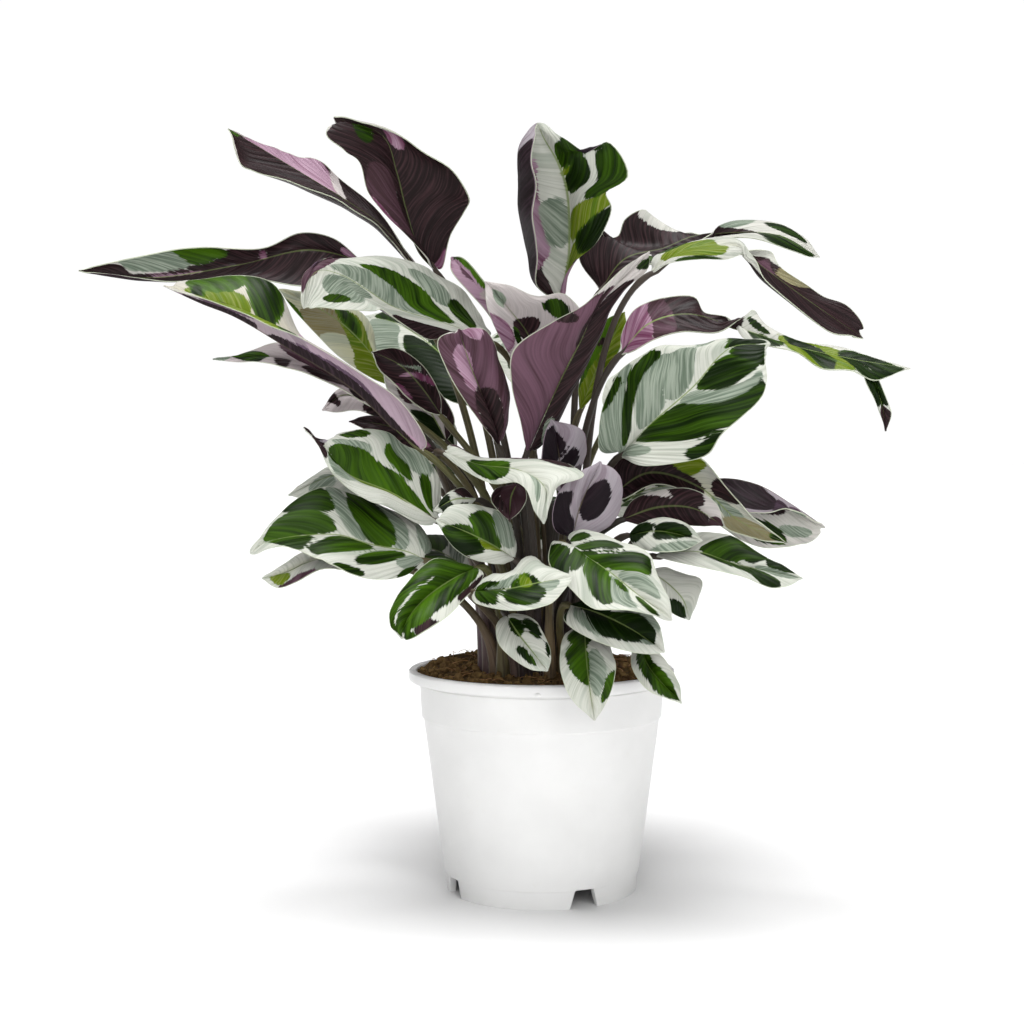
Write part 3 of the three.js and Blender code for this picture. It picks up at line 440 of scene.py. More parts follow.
def scatterCrumbs():
    # one crumb modelled from a cube, then laid on the soil many times at its own turn and size
    count, small, large = soilLooks["clods"]
    size, cut, uneven = soilLooks["crumb"]
    deselectAll()
    bpy.ops.mesh.primitive_cube_add(size=size)
    crumb = bpy.context.object
    crumb.name = crumb.data.name = "soilCrumbs"
    bpy.ops.object.mode_set(mode="EDIT")
    bpy.ops.mesh.bevel(offset=cut, segments=1, affect="EDGES")
    bpy.ops.mesh.quads_convert_to_tris()
    bpy.ops.object.mode_set(mode="OBJECT")
    settle(crumb)
    shape = readPoints(crumb.data)
    faces = [tuple(face.vertices) for face in crumb.data.polygons]
    points, joined = [], []
    for i in range(count):
        radius = small + (large - small) * chance.uniform() ** 2.5  # most are small
        x, y = freeSpot(radius * 1.3)
        turn = np.linalg.qr(chance.normal(size=(3, 3)))[0]
        if np.linalg.det(turn) < 0:
            turn[:, 0] *= -1
        own = (shape * (1 + chance.uniform(-uneven, uneven, shape.shape))) @ turn
        own = own * radius * chance.uniform(*soilLooks["squash"], 3) + onSoil(x, y, radius / 4)
        joined += [tuple(n + len(points) * len(shape) for n in face) for face in faces]
        points.append(own)
    mesh = bpy.data.meshes.new("soilCrumbs")
    mesh.from_pydata(inFrame(np.vstack(points)).tolist(), [], joined)
    crumb.data = mesh
    return crumb


def scatterFibres():
    # coir threads, each a short bent line with a thickness
    count, short, long, radius = soilLooks["fibres"]
    most, joints = soilLooks["reach"], 7
    curve = bpy.data.curves.new("coirFibres", "CURVE")
    curve.dimensions = "3D"
    curve.bevel_depth = radius * mm
    curve.bevel_resolution = 0
    curve.use_fill_caps = True
    for i in range(count):
        x, y = freeSpot(4)
        length, turn = chance.uniform(short, long), chance.uniform(0, 2 * math.pi)
        bend, arch = chance.uniform(-soilLooks["bend"], soilLooks["bend"]), chance.uniform(*soilLooks["arch"])
        spots = []
        for t in np.linspace(0, 1, joints):
            way = turn + bend * t
            x, y = x + math.cos(way) * length / joints, y + math.sin(way) * length / joints
            away = math.hypot(x, y)
            if away > most:
                x, y = x * most / away, y * most / away
            spots.append(onSoil(x, y, 1.0 + arch * math.sin(math.pi * t)))
        line = curve.splines.new("POLY")
        line.points.add(len(spots) - 1)
        for point, spot in zip(line.points, inFrame(np.array(spots))):
            point.co = (*spot, 1)
            point.radius = chance.uniform(*soilLooks["thick"])
    threads = bpy.data.objects.new("coirFibres", curve)
    bpy.context.scene.collection.objects.link(threads)
    pick(threads)
    bpy.ops.object.convert(target="MESH")
    return bpy.context.object


def pottingEarth(name, dryColour, dampColour):
    # Peat and composted bark: matt, crumbly, darker where it is damp
    material, tree, shader = newMaterial(name, dryColour, 0.92, 1.4, **{"Specular IOR Level": 0.2})
    place = addNode(tree, "ShaderNodeTexCoord").outputs["Object"]
    patch = addNoise(tree, place, 160.0, 6.0, 0.65)
    tint = addMix(tree, addRange(tree, patch, 0.35, 0.66), dampColour, dryColour)
    speck = addNode(tree, "ShaderNodeTexVoronoi", {"Vector": place, "Scale": 700.0}).outputs["Distance"]
    pale = addRange(tree, speck, 0.12, 0.02, top=0.6)
    grain = addNoise(tree, place, 900.0, 8.0, 0.7)
    fill(tree, shader.inputs["Base Color"], addMix(tree, pale, tint, "#a08562"))
    fill(tree, shader.inputs["Normal"], addBump(tree, grain, 0.9, 0.0009))
    return material


def coconutFibre():
    # Coir: golden brown fibre with a slight silky gloss along it
    material, tree, shader = newMaterial("coconutFibre", "#8a5f38", 0.6, 1.5)
    place = addNode(tree, "ShaderNodeTexCoord").outputs["Object"]
    strand = addRange(tree, addNoise(tree, place, 120.0, 4.0), 0.35, 0.65)
    fill(tree, shader.inputs["Base Color"], addMix(tree, strand, "#5d3d22", "#b98a58"))
    return material


leafColours = {
    "cream": ("#cccec4", "#a39ca2"),  # each mark as it shows on the upper side and from below
    "creamVein": ("#9ca392", "#887986"),
    "warmCream": ("#c9caa0", "#a5979a"),
    "darkGreen": ("#0a1b00", "#1a1218"),
    "brightGreen": ("#42660c", "#32242c"),
    "sage": ("#6a7868", "#4f3c4a"),
    "sageVein": ("#9ba596", "#6c5a66"),
    "lime": ("#62770f", "#5d4858"),
    "limeVein": ("#9a9f5c", "#75636f"),
    "plum": ("#1e1415", "#20171a"),
    "plumVein": ("#463034", "#41313a"),
    "pink": ("#b394a7", "#ad98a5"),
    "pinkVein": ("#65344f", "#5c3a50"),
    "mauve": ("#3b272c", "#3a2a33"),
    "mauveVein": ("#6d4f5e", "#645063"),
    "beige": ("#857a52", "#75666e"),
    "rib": ("#7f9157", "#655c4b"),
    "edge": ("#c6cdb6", "#a08d9a"),
}
leafShine = {
    "roughness": 0.4,
    "streak": (0.55, 0.05),  # streaks for each mm across the veins and along them
    "ragged": 1.15,  # mm that the streaks shift the edge of a mark
    "soft": 0.3,  # mm over which it fades
    "spread": 1.3,  # mm that every mark spreads past its outline
    "overlap": 1.3,  # mm that a mark runs under the one that cuts it
    "pleatGap": 7.0,  # mm between the side veins
}
# the first colour of foot and of upper is painted deep shade, for stalks standing in the shade of the clump
stalkColours = {
    "foot": ("#2a211e", "#645157", "#857152", "#625f3d"),  # painted deep shade, mauve, tan, olive
    "upper": ("#25221a", "#4b4038", "#5d5638", "#565a30"),
    # pale streaks of painted sheen low on the stalk
    "dry": "#a39a90",
    "rib": "#33291f",
}


def leafSurface(name, side):
    # A living calathea blade: thin wax over cells in fine parallel side veins. Light and dark marks run with
    # the veins and end in streaks, the midrib is paler, and the wax gives a broad satin sheen.
    colours = {key: linear(pair[side]) for key, pair in leafColours.items()}
    material, tree, shader = newMaterial(name, leafColours["cream"][side], leafShine["roughness"], 1.45,
                                         **{"Specular IOR Level": 0.12})
    place = addNode(tree, "ShaderNodeUVMap", uv_map="veins").outputs["UV"]
    fine, slow = leafShine["streak"]

    def read(field):
        return addNode(tree, "ShaderNodeAttribute", attribute_name=field).outputs["Fac"]

    def plus(a, b):
        return addMaths(tree, "ADD", a, b)

    def times(a, b):
        return addMaths(tree, "MULTIPLY", a, b)

    def swing(noise, size):
        # a noise as a swing to both sides of zero
        return times(addMaths(tree, "SUBTRACT", noise, 0.5), size)

    def streak(across, lengthwise, detail, offset):
        at = addNode(tree, "ShaderNodeMapping", {"Vector": place, "Scale": (across, lengthwise, 1),
                                                 "Location": (offset, offset * 0.7, 0)}).outputs["Vector"]
        return addNoise(tree, at, 1.0, detail, noise_dimensions="2D")

    def ramp(value, low, high, top=1.0):
        return addRange(tree, value, low, high, top, interpolation_type="SMOOTHSTEP")

    def blend(share, a, b):
        # b over a; a name stands for one of the leaf's colours
        return addMix(tree, share, *(colours[c] if isinstance(c, str) else c for c in (a, b)))

    veins = streak(fine, slow, 3.0, 0)
    broad = streak(fine * 0.28, slow * 0.5, 2.0, 11)
    thread = streak(fine * 4.5, slow, 1.0, 23)
    uneven = plus(swing(veins, 1.0), swing(broad, 0.6))
    ragged = times(plus(uneven, swing(thread, 0.7)), 2 * leafShine["ragged"])
    tone = read("tone")
    shimmer = plus(swing(veins, 0.7), swing(broad, 1.0))
    glow = plus(tone, shimmer)
    # the pale ground, with threads of green and a flush of pink where the leaf has it
    ground = blend(ramp(tone, 0.55, 1.0, 0.8), "cream", "warmCream")
    ground = blend(ramp(plus(times(thread, 0.5), times(veins, 0.5)), 0.48, 0.66, 0.6), ground, "creamVein")
    ground = blend(ramp(broad, 0.5, 0.68, 0.55), ground, "sageVein")
    ground = blend(times(read("blush"), 0.6), ground, "pink")
    # the kinds of mark, each with its own veins
    green = blend(ramp(glow, 0.1, 1.1), "darkGreen", "brightGreen")
    green = blend(ramp(thread, 0.62, 0.85, 0.15), green, "sage")
    sage = blend(ramp(veins, 0.36, 0.64, 0.95), "sage", "sageVein")
    sage = blend(ramp(thread, 0.6, 0.78, 0.35), sage, "darkGreen")
    plum = blend(ramp(veins, 0.4, 0.75, 0.7), "plum", "plumVein")
    plum = blend(ramp(thread, 0.66, 0.8, 0.35), plum, "mauve")
    pink = blend(ramp(glow, 0.0, 0.9), "pinkVein", "pink")
    mauve = blend(ramp(glow, 0.1, 1.1), "mauve", "mauveVein")
    lime = blend(ramp(veins, 0.46, 0.68, 0.5), "lime", "limeVein")
    lime = blend(ramp(broad, 0.55, 0.7, 0.6), lime, "brightGreen")
    beige = blend(ramp(thread, 0.4, 0.7, 0.6), "beige", "creamVein")
    skin, soft, spread = ground, leafShine["soft"], leafShine["spread"]
    for field, colour in (("beige", beige), ("mauve", mauve), ("pink", pink), ("cream", ground), ("lime", lime),
                          ("sage", sage), ("plum", plum), ("green", green)):
        share = ramp(plus(read(field), ragged), -soft - spread, soft - spread)
        if field == "plum":
            ribShare = addMaths(tree, "SUBTRACT", 1.0, times(share, 0.6))  # the midrib is darker there
        skin = blend(share, skin, colour)
    skin = blend(times(ramp(read("fromRib"), 1.0, 0.3, 0.85), ribShare), skin, "rib")
    skin = blend(ramp(read("fromEdge"), 0.55, 0.15, 0.8), skin, "edge")
    fill(tree, shader.inputs["Base Color"], skin)
    fill(tree, shader.inputs["Roughness"], plus(swing(veins, 0.18), leafShine["roughness"] + 0.08 * side))
    # the blade is quilted between its side veins, with finer veins in between
    at = addNode(tree, "ShaderNodeMapping", {"Vector": place, "Scale": (1 / leafShine["pleatGap"], 0.004, 1)})
    inputs = {"Vector": at.outputs["Vector"], "Scale": 0.314, "Distortion": 1.2, "Detail": 1.0, "Detail Scale": 1.4}
    pleat = addNode(tree, "ShaderNodeTexWave", inputs, bands_direction="X")
    quilt = addBump(tree, pleat.outputs["Fac"], 0.35, 0.0005)
    fill(tree, shader.inputs["Normal"], addBump(tree, thread, 0.35, 0.00012, Normal=quilt))
    return material


def stalkSurface():
    # A fleshy leaf stalk in a papery sheath: mauve, tan or olive at its foot, or painted dark as deep shade, greener
    # above, with fine lengthwise ribs, pale streaks of painted sheen low down, and a dull wax
    material, tree, shader = newMaterial("sheathedStalk", "#5f5a48", 0.5, 1.42)
    place = addNode(tree, "ShaderNodeUVMap", uv_map="veins").outputs["UV"]
    height = addNode(tree, "ShaderNodeAttribute", attribute_name="upStalk").outputs["Fac"]
    tone = addNode(tree, "ShaderNodeAttribute", attribute_name="tone").outputs["Fac"]

    def streaks(lengthwise, across, offset):
        at = addNode(tree, "ShaderNodeMapping", {"Vector": place, "Scale": (lengthwise, across, 1),
                                                 "Location": (offset, offset, 0)}).outputs["Vector"]
        return addNoise(tree, at, 1.0, 3.0, noise_dimensions="2D")

    def shades(key):
        # the stalk's own tone picks its colour; a tone of 0 is painted deep shade
        node = addNode(tree, "ShaderNodeValToRGB", {"Fac": tone})
        (_, first), *others = zip((0.0, 0.3, 0.6, 1.0), stalkColours[key])
        node.color_ramp.elements[0].color = linear(first)
        node.color_ramp.elements.remove(node.color_ramp.elements[1])
        for position, colour in others:
            node.color_ramp.elements.new(position).color = linear(colour)
        return node.outputs["Color"]

    ribs = streaks(0.05, 1.4, 0)
    climb = addRange(tree, height, 0.15, 0.5)
    skin = addMix(tree, climb, shades("foot"), shades("upper"))
    # pale streaks of painted sheen, low on the stalk only
    dry = addRange(tree, streaks(0.012, 0.28, 5), 0.48, 0.6, 0.7)
    below = addMaths(tree, "SUBTRACT", dry, climb, use_clamp=True)
    skin = addMix(tree, below, skin, stalkColours["dry"])
    skin = addMix(tree, addRange(tree, ribs, 0.48, 0.66, 0.6), skin, stalkColours["rib"])
    fill(tree, shader.inputs["Base Color"], skin)
    fill(tree, shader.inputs["Normal"], addBump(tree, ribs, 0.5, 0.0003))
    return material


# Each leaf: where its stalk stands, how far its two halves arch, its midrib and its two margins. A point is x and z
# in the plane of the pot's axis as seen from the eye, then the depth behind that plane. Then its looks: faces are the
# skins in front and behind (t upper side, u underside), stalk its tone (near 0 painted deep shade), sheath how many
# times wider its foot is, warm how yellow its green is and blush how pink its ground is. A mark is a letter from
# kinds, a digit for its own warmth if it has one, and an outline in percent of the length and the half width. A lobe
# is a second tip of the same leaf.
leaves = {
  "leaf_far_left": {
    "root": (-24, 12), "arch": (4, 2), "warm": 0.5, "blush": 0.3,
    "spine": [(-95, 330, 14), (-123, 336, 8), (-160, 328, -4), (-207, 321, -14), (-245, 325, -18)],
    "left": [(-110, 342, 14), (-127, 345, 12), (-148, 337, 4), (-180, 337, -12), (-207, 334, -18),
      (-228, 329, -20)],
    "right": [(-110, 324, 0), (-124, 317, -2), (-147, 320, -4), (-184, 319, -14), (-212, 321, -18),
      (-228, 323, -19)],
    "marks": ["p 0,-100 50,-100 54,-50 60,-20 78,-8 100,-2 100,100 0,100",
      "g7 51,-92 60,-99 68,-98 66,-60 60,-22 54,-50", "s 66,-98 83,-99 82,-40 80,-34 62,-16 64,-60",
      "k 42,-95 44,-95 42,4 40,4", "k 58,3 62,-8 78,-12 76,2", "k 2,-98 12,-80 8,-10 2,30",
      "p 83,-100 100,-100 100,100 82,100"],
  },
  "leaf_top_left_rolled": {
    "root": (-17, 12), "faces": "tt", "warm": 0.5, "blush": 0.6,
    "spine": [(-64, 323, 12), (-84, 348, 18), (-105, 363, 22), (-136, 382, 24), (-166, 400, 22)],
    "left": [(-86, 356, 24), (-106, 373, 34), (-119, 384, 40), (-132, 386, 40), (-145, 391, 34)],
    "right": [(-78, 338, 8), (-88, 350, 4), (-105, 361, 4), (-130, 370, 4), (-151, 378, 8), (-159, 381, 12)],
    "marks": ["p 0,-100 100,-100 100,100 0,100", "k6 41,-98 90,-98 95,-60 95,-5 50,-5 46,-40",
      "w 33,-98 40,-98 51,-6 46,-6", "g 95,-80 100,-60 100,60 96,40"],
  },
  "leaf_top_left_dark": {
    "root": (-9, 12), "arch": (3, -4), "faces": "tt", "warm": 0.3, "blush": 0.4,
    "spine": [(-57, 326, -4), (-65, 336, -10), (-72, 357, -18), (-77, 377, -26), (-84, 396, -34),
      (-110, 406, -44)],
    "left": [(-53, 326, -4), (-48, 344, -10), (-41, 356, -16), (-38, 363, -20), (-47, 378, -26),
      (-66, 389, -34), (-82, 400, -40)],
    "right": [(-66, 338, -16), (-80, 352, -26), (-92, 367, -34), (-97, 383, -42), (-105, 389, -48),
      (-114, 397, -50)],
    "marks": ["p 0,-100 100,-100 100,100 0,100", "k 0,-99 24,-99 16,-72 8,-50 4,-10 0,0",
      "m 20,40 44,24 60,30 64,70 40,98 24,98", "k 70,-18 76,-60 86,-95 90,-90 84,-30 78,-4",
      "w 78,-98 97,-98 93,-60 86,-22 84,-50", "g 76,46 84,14 92,-12 89,30 80,49", "k 20,96 34,90 44,97"],
  },
  "leaf_left_yellow": {
    "root": (-28, 5), "arch": (2, 2), "warm": 1.0,
    "spine": [(-80, 264, 30), (-92, 283, 32), (-106, 297, 34), (-122, 307, 36), (-139, 315, 38)],
    "left": [(-90, 268, 28), (-108, 280, 26), (-120, 292, 26), (-131, 304, 32)],
    "right": [(-83, 272, 36), (-87, 283, 42), (-91, 297, 46), (-103, 307, 46), (-118, 312, 42)],
    "marks": ["b 34,-72 58,-98 76,-98 75,-8 58,2 70,20 50,12 42,-25", "w 28,-98 58,-98 48,-50 40,-30 32,-60",
      "y 0,-98 28,-98 33,-40 50,0 66,45 60,60 40,50 20,4 0,60", "g4 34,-4 50,4 66,46 60,56 42,34",
      "p 12,24 20,10 32,98 22,98", "g 68,-98 92,-98 86,-84 76,-86"],
  },
  "leaf_left_pink": {
    "root": (-13, -7), "stalk": 0.85, "sheath": 1.5, "warm": 0.8, "blush": 0.4,
    "spine": [(-62, 229, -45), (-73, 237, -48), (-100, 263, -52), (-133, 284, -52), (-162, 301, -48),
      (-180, 308, -45), (-200, 317, -42)],
    "left": [(-61, 235, -48), (-80, 260, -58), (-107, 278, -64), (-133, 291, -64), (-154, 301, -58),
      (-177, 309, -50)],
    "right": [(-68, 244, -42), (-80, 256, -40), (-106, 274, -36), (-126, 290, -32), (-143, 318, -30),
      (-165, 322, -30), (-186, 320, -34)],
    "marks": ["k8 0,-100 54,-100 50,-60 44,-14 0,-6", "k8 0,6 44,14 50,60 56,100 0,100",
      "m 34,-40 54,-22 54,20 36,34 24,10 24,-12", "p 4,-10 40,-20 56,-12 56,10 40,18 4,8",
      "y9 58,-98 90,-98 88,-12 62,-14", "g3 55,-98 60,-98 60,-60 58,-24", "w 52,12 55,12 57,98 51,98",
      # the g6 mark at the tip of the right half is painted shade: the lime there darkened to olive green
      "g3 56,12 60,10 66,50 72,98 58,98", "y9 61,8 90,8 90,46 68,46", "g6 68,46 90,40 88,98 73,98",
      "g2 82,10 88,10 87,60 84,60", "p 60,-9 90,-12 92,8 60,8"],
  },
  "leaf_left_curl": {
    "root": (-6, 5), "arch": (2, 2), "blush": 0.7,
    "spine": [(-70, 246, -18), (-90, 256, -22), (-110, 268, -26), (-133, 277, -30), (-154, 278.5, -32),
      (-174, 278, -34)],
    "left": [(-84, 250, -28), (-106, 262, -38), (-132, 273, -40), (-150, 276.5, -36), (-162, 276.5, -35)],
    "right": [(-84, 262, -20), (-108, 276, -22), (-134, 287, -24), (-152, 283, -28), (-164, 279.5, -32)],
    "marks": ["k 0,-100 20,-100 22,0 30,100 0,100", "p 24,-90 31,-96 33,-4 22,-4",
      "p 32,-60 42,-96 50,-60 47,-4 36,-4", "p 53,-96 58,-96 66,-10 60,-4 57,-50",
      "m 22,6 56,6 58,60 50,98 30,60", "g3 66,-96 72,-96 86,-50 88,2 74,30 70,-20", "g5 68,0 88,0 84,99 72,99",
      "s3 90,-100 100,-100 100,100 90,100"],
  },
  "leaf_white_left": {
    "root": (-2, 12), "arch": (-2, 3), "warm": 0.5,
    "spine": [(-27, 287, -14), (-45, 295, -22), (-79, 306, -40), (-93, 315, -50), (-107, 323, -60),
      (-118, 325, -68), (-124, 318, -76), (-126, 305, -82)],
    "left": [(-33, 288, -20), (-48, 290, -26), (-61, 289, -32), (-83, 302, -50), (-88, 305, -56),
      (-104, 304, -68), (-118, 305, -76)],
    "right": [(-28, 294, -8), (-32, 301, -4), (-42, 313, -6), (-55, 324, -14), (-67, 329, -24), (-96, 331, -42),
      (-114, 331, -60), (-125, 323, -74)],
    "marks": ["s 40,-4 48,-36 60,-72 70,-82 76,-46 74,-20 60,-5", "g 66,-72 78,-78 82,-62 72,-54",
      "s 22,3 45,3 66,8 68,28 50,28 34,26 24,16", "g 16,6 20,28 28,48 42,52 58,48 61,36 48,30 34,26 26,18 20,4",
      "s 26,52 38,58 52,72 46,82 34,78 26,64", "g 11,20 18,38 28,68 31,80 20,74 13,52",
      "m 0,-98 26,-98 18,-50 8,-20 0,0", "p 22,-98 50,-98 42,-60 34,-30 26,-40 18,-50",
      "m 70,4 77,-4 88,20 94,60 94,98 74,98 70,50"],
  },
  "leaf_left_mid": {
    "root": (-20, -7), "arch": (2, 3), "stalk": 0.36, "sheath": 1.5, "warm": 0.55,
    "spine": [(-54, 192, -44), (-79, 207, -54), (-104, 218, -62), (-114, 230, -66), (-126, 242, -68)],
    "left": [(-62, 190, -48), (-82, 200, -60), (-91, 203, -66), (-106, 213, -70), (-112, 219, -72),
      (-118, 232, -70)],
    "right": [(-53, 200, -36), (-54, 212, -32), (-62, 226, -34), (-72, 233, -38), (-82, 240, -44),
      (-97, 240, -54), (-108, 238, -60), (-115, 234, -66)],
    "marks": ["y 12,-3 46,-3 46,-26 34,-16", "s 46,-3 50,-50 60,-86 73,-88 76,-40 70,-3",
      "g 60,-3 63,-30 72,-56 76,-30 74,-3", "g 4,3 30,3 55,3 72,3 75,20 69,46 52,42 38,35 22,28 10,18",
      "g 6,30 20,46 30,72 24,74 12,52", "g 26,38 44,58 50,82 42,74 32,56", "s 26,64 36,62 50,84 62,98 30,98",
      "s 50,44 66,48 76,38 77,56 60,62", "g 60,80 72,70 76,86 66,97", "p 77,-98 100,-60 100,50 90,70 79,0"],
  },
  "leaf_left_low": {
    "root": (-17, -14), "arch": (2, 3), "stalk": 0.55, "sheath": 1.5, "warm": 0.5,
    "spine": [(-62, 172, -48), (-71, 176, -52), (-91, 180, -60), (-109, 185, -66), (-146, 181, -72),
      (-154, 175, -74)],
    "left": [(-74, 163, -62), (-91, 162, -74), (-109, 168, -82), (-119, 173, -82), (-135, 179, -80)],
    "right": [(-59, 180, -40), (-67, 193, -38), (-88, 201, -42), (-103, 208, -46), (-114, 211, -50),
      (-135, 199, -60), (-144, 191, -68)],
    "marks": ["s 0,-60 14,-72 23,-55 24,-30 10,-5 0,-5", "s 22,4 28,6 33,40 38,96 32,92 26,46",
      "s 6,40 20,45 24,98 6,98", "s 42,5 52,8 58,40 64,74 60,98 54,90 50,50 46,26",
      "g 4,-98 20,-98 18,-72 10,-74", "g 20,-8 25,-38 34,-60 45,-72 40,-45 32,-16",
      "g 36,-4 44,-28 52,-55 64,-82 69,-88 68,-60 62,-30 60,-5", "g 66,-4 70,-50 76,-97 84,-97 83,-50 78,-6",
      "g 40,-84 54,-97 48,-99 36,-93", "g 28,4 40,4 48,35 52,65 48,98 38,95 33,50",
      "g 58,4 78,4 84,15 80,60 75,68 66,40", "g 60,42 66,50 74,76 78,98 66,98 62,70"],
  },
  "leaf_left_behind": {
    "root": (-24, -1), "arch": (2, 2), "stalk": 0.35, "sheath": 1.6, "warm": 0.5,
    "spine": [(-64, 214, -10), (-91, 217, -18), (-112, 216, -26), (-134, 206, -34)],
    "left": [(-76, 206, -14), (-92, 206, -24), (-110, 206, -30), (-124, 204, -34)],
    "right": [(-76, 224, -10), (-92, 227, -14), (-112, 221, -22), (-126, 213, -30)],
    "marks": ["g 5,-98 30,-70 44,-42 58,0 62,98 20,98 8,0", "w 20,0 24,0 40,90 36,90",
      "w 38,-20 44,-6 60,80 54,60", "s 62,-60 80,-66 82,0 72,30 64,0"],
  },
  "leaf_left_under": {
    "root": (-24, -14), "arch": (2, 2), "stalk": 0.5, "sheath": 1.5, "warm": 0.6,
    "spine": [(-75, 168, -36), (-101, 171, -42), (-121, 171, -48), (-136, 165, -54), (-148, 162, -60)],
    "left": [(-86, 162, -42), (-101, 166, -50), (-116, 167, -56), (-130, 160, -58), (-140, 157, -60)],
    "right": [(-86, 172, -34), (-101, 177, -38), (-116, 177, -42), (-125, 176, -46), (-136, 170, -52)],
    "marks": ["y 68,-56 84,-84 93,-20 78,-2", "s 26,-40 46,-60 48,0 30,2",
      "g 8,-20 22,-60 30,-70 24,0 18,60 10,50", "m 52,-98 80,-98 82,-84 60,-80"],
  },
  "leaf_front_left": {
    "root": (-20, -20), "arch": (4, 3), "stalk": 0.9, "sheath": 1.6, "warm": 0.6,
    "spine": [(-34, 168, -60), (-48, 161, -72), (-62, 151, -82), (-71, 140, -90), (-74, 130, -96)],
    "left": [(-31, 163, -66), (-42, 150, -82), (-51, 141, -94), (-62, 134, -100), (-69, 130, -100)],
    "right": [(-46, 171, -62), (-57, 172, -68), (-69, 163, -78), (-79, 147, -86), (-80, 137, -92)],
    "marks": ["g5 0,-60 10,-68 40,-76 75,-68 90,-58 96,-20 96,60 80,98 10,98 0,60",
      "g8 6,-14 30,-30 62,-40 80,-30 84,-10 60,-6 20,-4", "w 34,34 60,42 76,56 90,72 72,64 50,50",
      "p 16,-99 34,-94 34,-85 18,-90", "p 54,-98 75,-98 73,-78 60,-82", "g3 78,-98 92,-90 86,-76 78,-80",
      "w 88,-60 92,-20 90,10 94,10 96,-30"],
  },
  "leaf_front_mid_left": {
    "root": (-6, -20), "stalk": 0.15, "sheath": 1.3, "warm": 0.5,
    "spine": [(-14, 172, -50), (-27, 180, -56), (-41, 187, -60), (-56, 193, -62)],
    "left": [(-22, 170, -56), (-36, 172, -62), (-48, 180, -64)],
    "right": [(-14, 184, -46), (-20, 195, -48), (-33, 201, -52), (-48, 200, -58)],
    "marks": ["g2 44,-56 56,-86 66,-99 86,-99 88,-50 84,-10 78,8 66,14 56,3 50,-22 46,-40",
      "y 20,-5 28,-28 40,-38 46,-36 48,-18 46,-3 30,-4",
      "g4 22,3 44,2 54,15 63,40 64,55 55,78 50,70 46,45 38,24 26,14", "s 16,26 30,25 42,42 48,70 44,98 18,98",
      "m 54,-99 62,-99 58,-90"],
  },
  "leaf_front_white": {
    "root": (-13, -20), "stalk": 0.4, "sheath": 1.5,
    "spine": [(-36, 155, -76), (-19, 156, -88), (-4, 159, -94), (17, 163, -96)],
    "left": [(-32, 161, -72), (-25, 164, -72), (-16, 166, -74), (-6, 174, -76), (4, 168, -86)],
    "right": [(-36, 150, -84), (-29, 147, -92), (-10, 145, -106), (5, 149, -106), (12, 156, -102)],
    "marks": ["g4 3,-52 18,-46 32,-30 38,30 39,86 26,86 6,60", "w 33,-40 38,-10 41,30 42,84 38,84 37,30",
      "g2 42,-16 66,-26 72,12 66,78 46,84 41,40", "y6 50,0 56,-34 66,-12 62,24 56,20",
      "s 68,6 84,8 84,60 70,66", "s 12,-14 30,-20 54,-44 48,-18 30,-8 20,-4"],
  },
  "leaf_front_white_curl": {
    "root": (-28, -7), "stalk": 0.35, "sheath": 1.4, "warm": 0.5,
    "spine": [(-53, 229, -38), (-33, 222, -52), (-12, 219, -66), (2, 209, -78), (1, 191, -84)],
    "left": [(-47, 233, -34), (-33, 225, -42), (-5, 224, -56), (14, 223, -66), (22, 216, -72), (9, 211, -78),
      (5, 203, -82)],
    "right": [(-45, 222, -50), (-33, 215, -62), (-25, 212, -68), (-14, 213, -76), (-8, 209, -80),
      (-4, 198, -86)],
    "marks": ["g 19,5 22,-22 38,-26 45,20 48,55 46,82 26,86 20,50",
      "m 10,-99 30,-99 44,-70 40,-50 28,-60 12,-70", "s 56,4 62,6 78,50 82,76 74,58 60,24",
      "p 30,-98 52,-98 56,-70 46,-60"],
  },
  "leaf_small_plum": {
    "root": (-2, -14), "arch": (-2, -2), "stalk": 0.1, "sheath": 1.1, "warm": 0.2, "blush": 0.6,
    "spine": [(-13, 212, -44), (-16, 205, -47), (-17, 193, -52)],
    "left": [(-23, 210, -44), (-27, 205, -46), (-23, 198, -50)],
    "right": [(-9, 210, -46), (-8, 204, -50), (-11, 198, -52)],
    "marks": ["m 0,-100 100,-100 100,100 0,100", "p 0,-100 50,-60 90,-30 60,-98"],
  },
  "leaf_small_left": {
    "root": (-9, -14), "arch": (1, 1), "stalk": 0.05, "sheath": 1.2, "warm": 0.0,
    "spine": [(-35, 204, -42), (-46, 204, -48), (-57, 198, -52)],
    "left": [(-42, 197, -46), (-50, 196, -52)],
    "right": [(-42, 210, -42), (-51, 206, -48)],
    "marks": ["g 22,-56 52,-98 46,-68 30,-36", "g 54,-82 72,-98 85,0 80,98 67,98 66,0",
      "p 6,50 20,20 44,30 46,98 10,98"],
  },
  "leaf_centre_grey": {
    "root": (2, -7), "arch": (-3, -3), "faces": "uu", "stalk": 0.05, "sheath": 1.2, "warm": 0.2, "blush": 0.08,
    "spine": [(10, 208, -26), (9, 226, -32), (5, 246, -38)],
    "left": [(18, 214, -22), (23, 228, -28), (22, 240, -34)],
    "right": [(0, 214, -36), (0, 228, -40), (2, 240, -42)],
    "marks": ["m 0,-98 40,-98 36,-20 0,20", "g 44,98 44,64 52,12 64,-24 78,-10 88,-2 87,60 80,86 62,98",
      "g 38,-22 44,-62 54,-62 62,-56 52,-28 44,-10"],
  },
  "leaf_centre_grey_low": {
    "root": (2, -20), "arch": (-3, -3), "faces": "uu", "stalk": 0.1, "sheath": 1.2, "warm": 0.2, "blush": 0.08,
    "spine": [(16, 183, -50), (20, 200, -56), (31, 224, -58)],
    "left": [(30, 186, -50), (40, 196, -52), (43, 209, -54), (39, 219, -56)],
    "right": [(6, 190, -62), (8, 206, -64), (18, 217, -64)],
